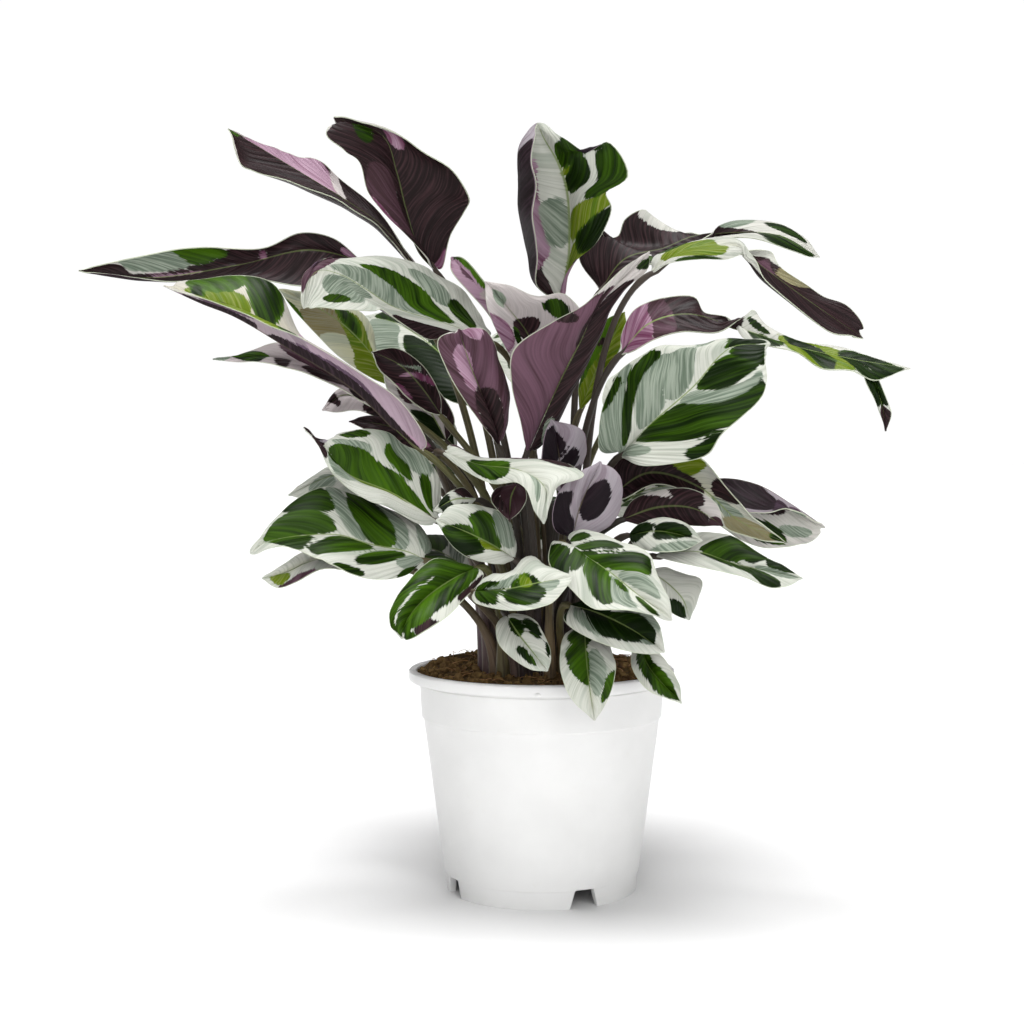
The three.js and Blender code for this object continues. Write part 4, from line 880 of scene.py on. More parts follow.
    "marks": ["g 34,-38 52,-62 74,-64 72,-10 60,-4 38,-8", "g 18,8 32,22 40,55 62,62 44,98 8,98 12,50"],
  },
  "leaf_front_right": {
    "root": (4, -28), "stalk": 0.6, "sheath": 1.5, "warm": 0.5,
    "spine": [(13, 180, -72), (35, 166, -84), (50, 154, -92), (69, 140, -98)],
    "left": [(16, 186, -64), (28, 187, -66), (44, 181, -74), (56, 175, -80), (62, 163, -88), (67, 151, -94)],
    "right": [(6, 182, -72), (4, 170, -80), (15, 157, -92), (28, 146, -102), (47, 145, -106)],
    "marks": ["s 42,-4 58,-28 70,-58 80,-62 82,-40 70,-18", "s 42,4 58,8 68,26 78,58 84,86 74,70 62,46 50,22",
      "g 8,-20 22,-46 34,-72 42,-88 40,-72 30,-50 18,-26",
      "g 9,-3 22,-24 38,-54 52,-78 60,-90 66,-78 64,-60 52,-34 34,-8",
      "w 22,-27 34,-46 42,-66 44,-66 36,-46 25,-26", "g 5,-62 14,-52 24,-75 22,-86 12,-74",
      "g 18,4 32,3 46,22 60,50 70,78 62,78 48,58 34,36", "g 6,8 20,20 32,40 40,70 34,63 24,46 14,34",
      "g 20,56 30,62 42,85 44,98 22,98", "g 46,6 56,8 65,18 56,16", "g 69,6 80,20 90,60 94,90 88,66 78,30"],
  },
  "leaf_front_dark": {
    "root": (10, -20), "stalk": 0.7, "sheath": 1.3, "warm": 0.05,
    "spine": [(15, 148, -66), (31, 143, -76), (49, 134, -84), (65, 123, -90)],
    "left": [(24, 151, -62), (38, 152, -68), (52, 147, -76), (62, 138, -84)],
    "right": [(12, 140, -74), (26, 130, -84), (44, 124, -90), (56, 122, -92)],
    "marks": ["g 14,-20 30,-14 50,-14 60,-50 84,-60 88,10 76,44 56,66 46,70 38,60 28,20 16,10",
      "g 0,-98 16,-98 18,-30 8,0 0,0", "s 14,20 28,44 44,72 40,78 24,56 12,34", "s 70,44 84,10 86,20 80,50",
      "s 56,-96 80,-98 84,-70 66,-62", "g 0,60 30,98 0,98"],
  },
  "leaf_front_spotted": {
    "root": (-9, -27), "arch": (2, 2), "stalk": 0.05, "sheath": 1.2, "warm": 0.3,
    "spine": [(-19, 143, -74), (-12, 132, -82), (-4, 122, -87), (3, 113, -90)],
    "left": [(-10, 143, -74), (-2, 138, -78), (3, 128, -84), (5, 120, -88)],
    "right": [(-24, 137, -80), (-23, 128, -86), (-17, 121, -90), (-6, 114, -92)],
    "marks": ["g 12,-36 36,-40 30,-10 36,10 22,24 12,10", "g 30,-76 50,-86 52,-60 38,-48 28,-58",
      "g 54,30 74,44 80,60 66,62 56,48", "g 62,-98 78,-90 72,-76 62,-84"],
  },
  "leaf_front_hanging": {
    "root": (13, -27), "stalk": 0.6, "sheath": 1.2, "warm": 0.55,
    "spine": [(23, 138, -58), (23, 126, -74), (25, 106, -88), (28, 87, -92)],
    "left": [(30, 134, -62), (37, 124, -76), (39, 114, -86), (35, 98, -91)],
    "right": [(14, 134, -66), (10, 124, -82), (10, 113, -90), (16, 98, -94)],
    "marks": ["g 12,-40 26,-60 30,-20 34,10 36,60 30,80 14,40", "g 34,-2 66,2 68,20 62,60 44,80 36,50",
      "s 40,-40 60,-60 72,-56 78,-30 62,-8 44,-10", "g 60,-98 78,-90 82,-70 70,-66"],
  },
  "leaf_right_low": {
    "root": (16, -20), "stalk": 0.2, "sheath": 1.2, "warm": 0.5,
    "spine": [(52, 130, -58), (56, 116, -72), (64, 106, -80), (74, 96, -84)],
    "left": [(58, 128, -62), (64, 120, -72), (72, 108, -80)],
    "right": [(48, 124, -68), (48, 114, -80), (56, 103, -86), (65, 99, -86)],
    "marks": ["g 18,4 26,-20 50,-34 72,-40 92,-30 96,10 92,80 70,80 50,60 30,70 18,40",
      "s 0,-98 10,-98 8,-40 4,0 0,0"],
  },
  "leaf_right_low_behind": {
    "root": (28, -14), "arch": (2, 2), "stalk": 0.1, "sheath": 1.2, "warm": 0.1,
    "spine": [(57, 166, -46), (68, 158, -50), (75, 150, -54), (78, 140, -56)],
    "left": [(66, 168, -42), (76, 164, -44), (85, 161, -46), (82, 150, -52)],
    "right": [(58, 158, -52), (63, 150, -56), (70, 143, -58)],
    "marks": ["g1 60,44 74,26 88,56 88,98 56,98"],
  },
  "leaf_big_right": {
    "root": (9, -7), "stalk": 0.1, "sheath": 1.2, "warm": 0.45,
    "spine": [(41, 227, -46), (58, 244, -60), (80, 263, -68), (100, 284, -72), (121, 286, -76)],
    "left": [(31, 230, -48), (31, 242, -50), (35, 260, -48), (40, 271, -48), (53, 280, -50), (63, 284, -54),
      (80, 285, -60), (95, 289, -66)],
    "right": [(52, 222, -68), (70, 223, -78), (89, 228, -86), (95, 238, -88), (105, 247, -88), (117, 259, -86),
      (119, 268, -84), (118, 277, -80)],
    "marks": ["s 0,-2 12,-25 22,-46 34,-68 48,-86 50,-100 0,-100",
      "s 20,-6 36,-6 46,-40 62,-60 60,-76 50,-66 38,-54 26,-28",
      "s 39,-5 50,-6 62,-26 70,-45 68,-64 60,-58 48,-36", "s 72,-40 82,-70 84,-94 79,-90 74,-60",
      "g3 10,-26 20,-44 34,-66 48,-84 62,-97 61,-78 50,-70 40,-60 28,-46 18,-28",
      "g 28,-90 38,-87 44,-97 30,-99", "g1 72,-2 80,-16 86,-45 92,-96 97,-60 97,-2",
      "s 0,2 7,2 13,30 20,60 8,64 0,40", "g3 12,4 40,4 46,30 55,60 68,80 76,93 60,98 44,88 30,60 19,32",
      "s 41,4 48,6 55,40 64,66 76,80 78,90 64,80 52,56 45,30", "g2 51,3 70,5 74,40 82,76 72,62 60,50 54,22",
      "g1 71,4 97,4 95,60 88,97 82,78 76,40", "g 28,78 42,90 48,100 28,100"],
  },
  "leaf_right_brown": {
    "root": (16, -7), "arch": (2, 2), "stalk": 0.1, "sheath": 1.2, "warm": 0.7, "blush": 0.1,
    "spine": [(37, 206, -30), (57, 218, -36), (84, 210, -42), (104, 193, -46), (129, 181, -50)],
    "left": [(42, 204, -38), (60, 212, -46), (78, 206, -50), (97, 189, -50), (113, 183, -50)],
    "right": [(37, 222, -34), (57, 230, -42), (84, 226, -50), (98, 210, -50), (108, 198, -50), (118, 190, -50)],
    "marks": ["p 0,-100 52,-100 54,-20 48,10 40,12 32,50 28,100 0,100", "y 32,98 31,56 38,22 44,20 46,98",
      "p 53,98 53,40 58,10 66,60 66,98", "s 56,-6 66,-20 74,-10 74,50 64,20",
      "b 70,-98 94,-96 98,30 88,66 74,22 66,-40", "g3 94,-60 100,-60 100,98 94,98 92,20"],
  },
  "leaf_right_fan": {
    "root": (28, -1), "arch": (2, 2), "stalk": 0.1, "sheath": 1.2, "blush": 0.3,
    "spine": [(78, 208, -14), (94, 214, -20), (114, 211, -26), (132, 201, -30), (150, 189, -34)],
    "left": [(87, 201, -30), (102, 197, -42), (123, 198, -46), (137, 197, -42)],
    "right": [(92, 193, -14), (110, 180, -22), (131, 179, -28), (143, 182, -32)],
    "marks": ["p 12,-62 30,-62 56,-88 68,-60 64,-3 12,-3", "m 60,-98 74,-90 72,-20 64,-10",
      "p 12,3 62,3 68,30 56,40 30,40 16,28", "g 34,60 50,54 60,76 57,94 38,82", "s 58,62 82,58 84,82 60,78",
      "s 74,-98 84,-98 84,-10 74,-10"],
  },
  "leaf_right_pale": {
    "root": (5, -14), "arch": (-2, -2), "stalk": 0.0, "sheath": 1.2, "warm": 0.2, "blush": 0.5,
    "spine": [(42, 193, -50), (63, 200, -58), (81, 199, -64), (96, 190, -68)],
    "left": [(56, 190, -54), (70, 190, -60), (84, 190, -64)],
    "right": [(48, 203, -48), (63, 209, -56), (80, 209, -62), (93, 201, -68)],
    "marks": ["p 0,-98 86,-98 84,-10 70,-8 50,20 30,60 24,98 0,98", "m 84,-98 100,-98 100,98 92,60 86,0",
      "p 52,30 68,20 72,50 60,98 44,98"],
  },
  "leaf_right_white": {
    "root": (13, -14), "arch": (2, 2), "stalk": 0.1, "sheath": 1.2, "warm": 0.1,
    "spine": [(46, 185, -58), (63, 187, -70), (85, 182, -76)],
    "left": [(52, 191, -62), (63, 194, -68), (77, 191, -74)],
    "right": [(50, 179, -66), (62, 176, -78), (75, 177, -80)],
    "marks": ["g 0,-84 30,-90 42,-46 36,-3 0,-3", "g 45,-30 64,-80 84,-56 84,0 62,42 44,44",
      "g 0,3 34,3 28,42 20,82 0,92", "s 36,98 60,70 90,60 90,98"],
  },
  "leaf_right_long": {
    "root": (20, -14), "arch": (2, 2), "stalk": 0.1, "sheath": 1.2, "warm": 0.35,
    "spine": [(59, 174, -62), (82, 176, -70), (100, 170, -76), (119, 166, -80), (138, 162, -84)],
    "left": [(70, 180, -60), (83, 186, -60), (100, 185, -66), (118, 173, -76), (128, 169, -80)],
    "right": [(70, 171, -72), (94, 166, -82), (109, 162, -86), (122, 157, -88), (130, 158, -88)],
    "marks": ["s 2,-60 10,-92 16,-98 20,-60 24,-20 12,0 4,0",
      "g 26,-6 38,-42 46,-72 54,-98 62,-98 60,-60 56,-20 46,-6", "g 55,-50 62,-98 67,-98 66,-40 62,-18",
      "g 70,-98 92,-98 92,-50 82,-32 72,-40", "s 66,-24 96,-30 96,60 80,40 70,10",
      "g 26,4 46,4 52,36 60,56 46,62 34,50", "g 54,4 66,8 72,40 78,92 62,98 56,56"],
  },
  "leaf_top_centre": {
    "root": (13, 12), "arch": (-20, 3), "warm": 0.35,
    "spine": [(8, 307, 10), (13, 322, 8), (15, 335, 6), (14, 366, 2), (9, 382, -4), (1, 396, -10),
      (-2, 403, -14)],
    "left": [(-2, 318, -6), (-3, 335, -12), (-4, 354, -20), (-4, 374, -24), (-5, 388, -22)],
    "right": [(18, 330, 0), (30, 341, -8), (37, 358, -12), (34, 366, -14), (46, 375, -22), (35, 393, -16),
      (24, 388, -14), (13, 394, -14)],
    "marks": ["p 0,-100 96,-100 80,-60 72,-38 34,-34 20,-38 0,-10",
      "k5 16,-42 30,-50 72,-46 76,-20 60,-26 42,-26 32,-20", "s 34,-3 38,-20 50,-22 48,-3",
      "m 0,3 8,3 12,30 10,98 0,98", "k5 0,40 14,20 20,10 14,60 10,98 4,98",
      "y5 10,3 34,3 32,22 22,98 14,98 12,50", "g1 22,50 32,20 37,24 36,60 34,98 18,98",
      "y5 36,3 44,3 44,50 45,98 36,98 37,50", "g2 50,3 59,3 68,40 62,50 53,30",
      "g4 46,42 56,60 64,66 66,98 46,98", "y7 58,3 63,3 71,30 68,36",
      "g3 62,3 74,8 84,50 92,98 66,98 68,60 68,40"],
  },
  "leaf_top_right": {
    "root": (17, 6), "faces": "tt", "warm": 0.3, "blush": 0.2,
    "spine": [(31, 314, 20), (44, 331, 22), (65, 337, 24), (80, 343, 26), (94, 345, 28), (126, 343, 30),
      (147, 332, 30)],
    "left": [(35, 315, 10), (46, 322, 8), (55, 327, 8), (64, 330, 10), (72, 336, 12), (81, 340, 16),
      (92, 346, 28), (104, 352, 40), (126, 350, 42), (138, 343, 36)],
    "right": [(20, 330, 26), (20, 340, 30), (27, 351, 34), (33, 343, 32), (40, 343, 34), (44, 352, 36),
      (55, 357, 38), (60, 347, 38), (68, 344, 38), (80, 345, 36), (92, 343, 28), (111, 342, 18),
      (133, 335, 20)],
    "marks": ["p 0,-100 64,-100 66,-20 78,0 80,60 62,98 0,100", "w 10,-98 20,-98 30,-2 22,-20 14,-50",
      "g 22,-98 28,-98 28,-10 24,-30", "w 46,98 45,34 52,26 57,70 62,98",
      "s 64,-98 75,-98 76,-50 72,-20 66,-24", "g 77,-56 90,-80 94,-40 84,-16", "g 74,2 97,2 97,98 92,98 84,50",
      "w 64,10 74,30 78,98 72,98"],
  },
  "leaf_right_arc": {
    "root": (20, -1), "faces": "tt", "stalk": 0.2, "sheath": 1.2, "warm": 0.6, "blush": 0.1,
    "spine": [(57, 323, -6), (78, 336, -8), (104, 336, -12), (118, 326, -16), (137, 312, -20), (170, 289, -26)],
    "left": [(60, 333, -2), (84, 340, 0), (102, 341, -4), (112, 332, -18), (118, 320, -26), (137, 305, -32),
      (153, 292, -34), (164, 290, -32)],
    "right": [(68, 329, -12), (84, 331, -16), (98, 331, -18), (110, 335, -12), (121, 335, -4), (126, 327, -8),
      (141, 317, -12), (150, 311, -14), (162, 306, -18), (170, 296, -22)],
    "marks": ["y 8,-60 26,-44 31,0 31,60 24,84 12,60", "g 12,-98 19,-98 20,-60 14,-40",
      "g 12,76 22,84 28,98 12,98", "p 44,-100 100,-100 100,100 44,100", "m 50,8 62,6 58,60 48,92",
      "b 54,100 57,62 64,50 66,100"],
  },
  "leaf_right_third": {
    "root": (13, -1), "arch": (2, 2), "faces": "tt", "stalk": 0.1, "sheath": 1.2, "blush": 0.15,
    "spine": [(41, 280, -30), (57, 297, -34), (78, 302, -38), (104, 294, -44), (131, 285, -50), (163, 278, -56),
      (195, 273, -60)],
    "left": [(48, 282, -40), (58, 288, -44), (74, 293, -48), (93, 292, -50), (106, 300, -44), (112, 304, -40),
      (118, 296, -40), (133, 288, -42), (160, 284, -48), (179, 278, -54)],
    "right": [(42, 290, -26), (48, 303, -24), (56, 308, -24), (66, 311, -26), (81, 311, -28), (86, 303, -32),
      (99, 300, -38), (107, 289, -52), (120, 285, -60), (135, 281, -62), (148, 273, -66), (164, 272, -68),
      (176, 267, -68), (184, 269, -64)],
    "marks": ["p 22,-100 50,-100 50,100 22,100", "k3 2,-100 24,-100 24,100 2,100",
      "m 18,-100 27,-100 27,100 18,100", "g3 51,-60 58,-40 62,-28 56,-20", "g3 54,5 64,5 62,98 54,62",
      "y3 64,-60 82,-60 82,98 64,98", "g2 66,-62 76,-52 77,98 70,60", "g2 80,-60 92,-64 98,40 97,98 82,98"],
    "lobe": {
      "arch": (1, 1), "faces": "tt", "warm": 0.2,
      "spine": [(170, 275, -61), (177, 264, -64), (180, 254, -66), (182, 240, -66)],
      "left": [(176, 271, -64), (183, 256, -68), (185, 249, -67)],
      "right": [(171, 267, -64), (176, 257, -65), (180, 247, -66)],
      "marks": ["p 0,-100 24,-100 20,0 0,30", "g2 22,-100 60,-100 62,100 12,100 20,20",
        "p 70,-100 100,-100 100,100 70,100"],
    },
  },
  "leaf_funnel_plum": {
    "root": (-4, -8), "arch": (-4, -4), "stalk": 0.1, "sheath": 1.3, "warm": 0.3, "blush": 0.5,
    "spine": [(-8, 228, -30), (9, 265, -40), (21, 289, -46), (31, 311, -48), (57, 335, -46)],
    "left": [(0, 233, -28), (17, 260, -34), (28, 285, -36), (35, 303, -38), (44, 314, -42), (56, 327, -46)],
    "right": [(-11, 244, -42), (-16, 265, -52), (-15, 283, -58), (6, 298, -60), (21, 306, -58), (29, 313, -56),
      (44, 327, -52)],
    "marks": ["p 0,-100 80,-100 80,-2 0,-2", "s 10,-70 18,-99 20,-60 14,-8", "m7 0,2 80,2 80,100 0,100",
      "p 44,4 50,4 80,70 78,84", "g 85,-98 96,-98 96,-58 88,-40", "p 50,98 56,60 58,98"],
  },
  "leaf_centre_rim": {
    "root": (5, -1), "stalk": 0.05, "sheath": 1.2, "blush": 0.6,
    "spine": [(-1, 262, -14), (-6, 288, -20), (-17, 304, -26), (-30, 319, -32)],
    "left": [(-10, 268, -20), (-18, 282, -26), (-24, 293, -32), (-29, 306, -36)],
    "right": [(8, 276, -8), (16, 290, -8), (21, 301, -10), (12, 313, -18), (-4, 311, -24), (-16, 317, -30)],
    "marks": ["m7 0,-100 36,-100 36,0 44,60 30,100 0,100", "p 36,-30 58,-42 52,30 42,14",
      "k5 40,-98 78,-98 60,-52 44,-60", "g 38,-60 52,-50 52,-34 40,-40", "g 46,58 57,48 59,74 48,86",
      "s 72,-40 86,-60 92,20 80,30"],
  },
  "leaf_funnel_left": {
    "root": (-9, -1), "arch": (-5, -5), "stalk": 0.1, "sheath": 1.3, "warm": 0.6, "blush": 0.6,
    "spine": [(-23, 233, -40), (-29, 251, -46), (-37, 272, -52), (-44, 294, -58)],
    "left": [(-18, 243, -38), (-18, 262, -40), (-23, 280, -44), (-31, 294, -52)],
    "right": [(-32, 244, -52), (-42, 258, -60), (-51, 274, -64), (-55, 288, -62)],
    "marks": ["m 0,-100 100,-100 100,100 0,100", "p 0,-40 40,-50 52,0 44,60 20,90 0,90",
      "k5 42,72 60,12 80,-12 86,28 72,62", "k 84,-98 96,-98 96,-40 80,-56"],
  },
  "leaf_pink_spear": {
    "root": (5, 12), "arch": (-5, -5), "warm": 0.5, "blush": 0.8,
    "spine": [(-16, 282, 6), (-18, 294, 2), (-27, 310, -5), (-38, 323, -12), (-48, 332, -18)],
    "left": [(-13, 292, -2), (-20, 306, -10), (-30, 319, -18), (-42, 332, -22)],
    "right": [(-21, 290, -4), (-30, 304, -12), (-40, 315, -18), (-48, 325, -22)],
    "marks": ["k7 0,-100 100,-100 100,100 0,100", "m 28,-98 46,-98 44,0 34,60",
      "w 48,-98 54,-98 57,0 52,84 48,60", "g 56,-100 99,-100 99,-90 58,-92", "m 60,40 90,20 86,60 66,80"],
  },
  "leaf_centre_green": {
    "root": (9, 5), "arch": (2, 2), "warm": 0.9,
    "spine": [(20, 250, 6), (29, 272, 6), (38, 290, 4), (44, 303, 2)],
    "left": [(20, 264, 10), (25, 282, 12), (33, 298, 10)],
    "right": [(30, 262, 0), (39, 278, -2), (45, 293, -2)],
    "marks": ["y 0,-100 100,-100 100,100 0,100", "g 20,-98 90,-98 86,-30 60,-30 30,-50",
      "p 50,-60 64,-50 60,-10"],
  },
  "leaf_left_dark_behind": {
    "root": (2, 5), "arch": (2, 2), "warm": 0.3, "blush": 0.5,
    "spine": [(-53, 248, -16), (-64, 264, -20), (-75, 275, -24), (-90, 282, -28)],
    "left": [(-54, 260, -12), (-64, 276, -14), (-77, 284, -20)],
    "right": [(-64, 252, -22), (-76, 263, -28), (-86, 273, -30)],
    "marks": ["p 0,-100 100,-100 100,100 0,100", "k 28,-98 36,-98 62,44 54,44", "s 44,-84 50,-84 72,16 66,10",
      "k 34,70 50,64 58,98 36,98"],
  },
  "leaf_left_small_curl": {
    "root": (-31, -1), "arch": (2, 2), "stalk": 0.3, "sheath": 1.2, "warm": 0.3, "blush": 0.7,
    "spine": [(-75, 246, 2), (-95, 257, -2), (-106, 259, -4), (-116, 251, -6)],
    "left": [(-84, 246, 0), (-97, 251, -4), (-108, 250, -6)],
    "right": [(-84, 256, 2), (-96, 263, 0), (-109, 261, -4)],
    "marks": ["k 0,-100 16,-60 36,0 60,98 0,98", "p 70,-62 82,-20 89,98 80,98 77,0", "p 20,-60 44,-98 36,-20"],
  },
  "leaf_left_dark_low": {
    "root": (-17, -1), "arch": (2, 2), "stalk": 0.6, "sheath": 1.4, "warm": 0.1, "blush": 0.8,
    "spine": [(-56, 229, -26), (-74, 240, -30), (-88, 244, -33), (-102, 245, -36)],
    "left": [(-68, 226, -34), (-80, 233, -40), (-92, 240, -40)],
    "right": [(-64, 237, -24), (-77, 245, -26), (-91, 248, -30)],
    "marks": ["p 0,-100 100,-100 100,100 0,100", "k 6,-60 30,0 56,60 50,98 8,98",
      "s 14,-98 60,-98 40,-70 22,-76"],
  },
  "leaf_centre_dark": {
    "root": (-13, 5), "arch": (2, 2), "warm": 0.0,
    "spine": [(-45, 230, 10), (-57, 243, 8), (-72, 255, 6)],
    "left": [(-54, 232, 6), (-66, 244, 4)],
    "right": [(-46, 243, 14), (-60, 255, 12)],
    "marks": ["g 18,-60 40,-98 84,-98 86,-10 40,-4 22,-20", "p 44,60 70,30 92,30 92,98 44,98",
      "g 4,10 30,10 44,70 36,70 20,30"],
  },
  "leaf_left_dark_mid": {
    "root": (-20, 5), "arch": (2, 2), "warm": 0.05, "blush": 0.5,
    "spine": [(-50, 234, 2), (-60, 252, -2), (-70, 265, -4), (-84, 272, -6)],
    "left": [(-46, 246, 6), (-58, 266, 4), (-70, 277, 0)],
    "right": [(-60, 240, -6), (-72, 252, -10), (-82, 263, -10)],
    "marks": ["p 26,-90 50,-98 75,-10 70,10 34,-20", "g 0,0 20,0 40,50 46,98 0,98", "m 50,18 78,2 72,40 52,72",
      "p 0,-98 30,-98 24,-60 0,-40"],
  },
  "leaf_back_left_high": {
    "root": (-17, 25),
    "spine": [(-30, 252, 24), (-45, 272, 53), (-62, 288, 88), (-80, 298, 123), (-96, 300, 156)],
    "left": [(-48, 256, 32), (-68, 270, 60), (-86, 282, 97), (-96, 292, 130)],
    "right": [(-24, 268, 46), (-36, 286, 88), (-52, 298, 128), (-76, 304, 153)],
    "marks": ["g0 0,-97 34,-97 50,-60 62,-3 0,-3", "g1 0,3 62,3 50,60 34,97 0,97",
      "s 66,-3 56,-60 44,-97 70,-97 80,-60 88,-3", "g3 66,3 58,60 46,97 72,97 84,60 90,3"],
  },
  "leaf_back_left_mid": {
    "root": (-13, 18),
    "spine": [(-34, 212, 27), (-50, 224, 58), (-74, 228, 94), (-98, 222, 128)],
    "left": [(-48, 208, 27), (-72, 212, 55), (-94, 216, 94)],
    "right": [(-30, 222, 55), (-46, 232, 97), (-76, 232, 128)],
  },
  "leaf_back_left_low": {
    "root": (-20, 18),
    "spine": [(-36, 164, 24), (-54, 176, 55), (-76, 180, 88), (-98, 174, 119)],
    "left": [(-52, 162, 24), (-76, 168, 52), (-96, 172, 88)],
    "right": [(-34, 174, 52), (-52, 184, 91), (-80, 182, 119)],
  },
  "leaf_back_centre_high": {
    "root": (-6, 18),
    "spine": [(-2, 258, 32), (2, 280, 66), (0, 294, 108), (-8, 296, 161)],
    "left": [(-16, 266, 44), (-24, 282, 77), (-26, 290, 119)],
    "right": [(14, 266, 44), (24, 280, 77), (18, 292, 122)],
  },
  "leaf_back_centre_low": {
    "root": (2, 18),
    "spine": [(0, 176, 32), (2, 194, 66), (-2, 204, 108), (-8, 198, 153)],
    "left": [(-14, 182, 44), (-26, 194, 77), (-26, 200, 119)],
    "right": [(14, 182, 44), (26, 194, 77), (18, 202, 122)],
  },
  "leaf_back_right_high": {
    "root": (9, 18),
    "spine": [(36, 244, 24), (50, 258, 55), (66, 266, 94), (86, 262, 136)],
    "left": [(32, 258, 46), (42, 272, 86), (62, 274, 125)],
    "right": [(52, 242, 30), (74, 252, 60), (88, 258, 102)],
  },
  "leaf_back_right_mid": {
    "root": (20, 12),
    "spine": [(36, 196, 27), (54, 208, 58), (76, 210, 94), (98, 200, 125)],
    "left": [(34, 208, 55), (52, 218, 97), (80, 212, 122)],
    "right": [(50, 194, 24), (76, 198, 55), (96, 200, 94)],
  },
  "leaf_back_right_low": {
    "root": (16, 18),
    "spine": [(28, 148, 27), (42, 158, 55), (56, 160, 83), (74, 150, 111)],
    "left": [(24, 156, 52), (38, 166, 86), (58, 162, 108)],
    "right": [(42, 146, 27), (62, 150, 52), (74, 152, 83)],
  },
}
leafLooks = {
    "arch": (3, 3),  # mm that the halves of a blade arch, where its own row doesn't say
    "thickness": 0.5,  # mm, at the margin
    "rowLength": 1.6,  # mm between the rows of a blade
    "rows": (24, 130),  # fewest and most
    "columnWidth": 1.9,
    "columns": (5, 15),  # fewest and most in each half
    "crowding": 0.05,  # rows stand closer at the ends, where the outline turns fastest
    "endWidth": 0.25,  # half width of a blade at its very tip
    "endShare": 0.07,  # share of the length over which the ends are evened out
    "ruffle": 0.03,  # how far a margin waves, as a share of the half width
    "waves": ((2.2, 3.4, 1), (5, 8, 0.35)),  # along a margin: fewest, most, and how strong they are
    "ribHeight": (1.1, 0.25),  # of the midrib under the blade, at its base and tip
    "ribWidth": (2.2, 0.7),
    "veinSweep": 0.85,  # how far a side vein runs towards the tip for each mm across
}
kinds = {"g": "green", "s": "sage", "y": "lime", "p": "plum",
         "k": "pink", "m": "mauve", "b": "beige", "w": "cream"}
stripeLooks = {  # in percent of the length and of the half width
    "first": (6, 14),  # where the first one starts
    "last": 84,
    "width": (5, 11),
    "reach": (70, 98),  # towards the margin
    "lean": (16, 24),  # towards the tip
    "apart": (3, 12),
    "kinds": ["g4", "g6", "s3", "g3"],
}


def standAt(spot):
    # a point given as x and z at the axis's distance, and its depth, as it lies on its line of sight
    away, height = layout["eye"]
    x, z, depth = spot
    grown = (away + depth) / away
    return np.array([x * grown, depth, height + (z - height) * grown])


def towardsEye(points):
    return np.array([0, -layout["eye"][0], layout["eye"][1]]) - points


def along(curve, share):
    # a centripetal spline through the points
    last = len(curve) - 1
    spot = np.clip(share, 0, 1) * last
    i = np.minimum(spot.astype(int), last - 1)
    w = (spot - i)[:, None]
    ends = np.vstack([2 * curve[0] - curve[1], curve, 2 * curve[-1] - curve[-2]])
    p0, p1, p2, p3 = ends[i], ends[i + 1], ends[i + 2], ends[i + 3]
    d0, d1, d2 = (np.sqrt(np.linalg.norm(b - a, axis=1))[:, None] for a, b in ((p0, p1), (p1, p2), (p2, p3)))
    t1 = ((p1 - p0) / d0 - (p2 - p0) / (d0 + d1) + (p2 - p1) / d1) * d1
    t2 = ((p2 - p1) / d1 - (p3 - p1) / (d1 + d2) + (p3 - p2) / d2) * d1
    return p1 + t1 * w + (3 * (p2 - p1) - 2 * t1 - t2) * w ** 2 + (2 * (p1 - p2) + t1 + t2) * w ** 3


def heading(curve, share):
    return unit(along(curve, share + 1e-4) - along(curve, share - 1e-4))


def sideways(spine, margin, share):
    way = heading(spine, share)
    out = along(margin, share) - along(spine, share)
    return unit(out - way * (out * way).sum(1, keepdims=True))


def stepsAlong(line):
    # how far along a line of points each one lies
    return np.concatenate([[0], np.cumsum(np.linalg.norm(np.diff(line, axis=0), axis=1))])


def bladeCurves(leaf):
    base, tip = leaf["spine"][0], leaf["spine"][-1]
    rows = (leaf["spine"], [base, *leaf["left"], tip], [base, *leaf["right"], tip])
    return [np.array([standAt(spot) for spot in row]) for row in rows]


def bladePoints(curves, arch, u, v):
    spine, left, right = curves
    middle, way = along(spine, u), heading(spine, u)
    steady = np.clip(u, 0.08, 0.92)  # where the margins are far enough from the midrib to give a direction
    flat = unit(sideways(spine, right, steady) - sideways(spine, left, steady))
    onRight = (v >= 0)[:, None]
    out = np.where(onRight, along(right, u), along(left, u)) - middle
    fade = smoothStep(np.minimum(u, 1 - u) / leafLooks["endShare"])[:, None]
    reach = np.maximum(np.linalg.norm(out, axis=1, keepdims=True), leafLooks["endWidth"])
    end = np.where(onRight, flat, -flat) * reach * (1 - fade) + out * fade
    lift = unit(np.where(onRight, np.cross(end, way), np.cross(way, end)))
    height = np.where(onRight[:, 0], arch[1], arch[0]) * np.sin(np.pi * u) ** 0.7
    across = np.abs(v)
    return middle + end * across[:, None] + lift * (4 * height * across * (1 - across))[:, None]


def marginWaves(u, v, seed):
    # a gentle wave along each margin, as a share of its full height
    dice = np.random.default_rng(seed)
    waves = np.zeros(len(u))
    for side in (-1, 1):
        on = (v * side > 0) * np.abs(v) ** 2.2 * np.sin(np.pi * u) ** 0.5
        sizes = [(dice.uniform(fewest, most), size) for fewest, most, size in leafLooks["waves"]]
        for turns, size in sizes:
            waves += on * size * np.sin(2 * np.pi * (turns * u + dice.uniform()))
    return waves


def rounded(outline):
    # cuts the corners off a closed outline, twice
    for _ in range(2):
        after = np.roll(outline, -1, axis=0)
        outline = np.stack([outline * 0.75 + after * 0.25, outline * 0.25 + after * 0.75], 1).reshape(-1, 2)
    return outline


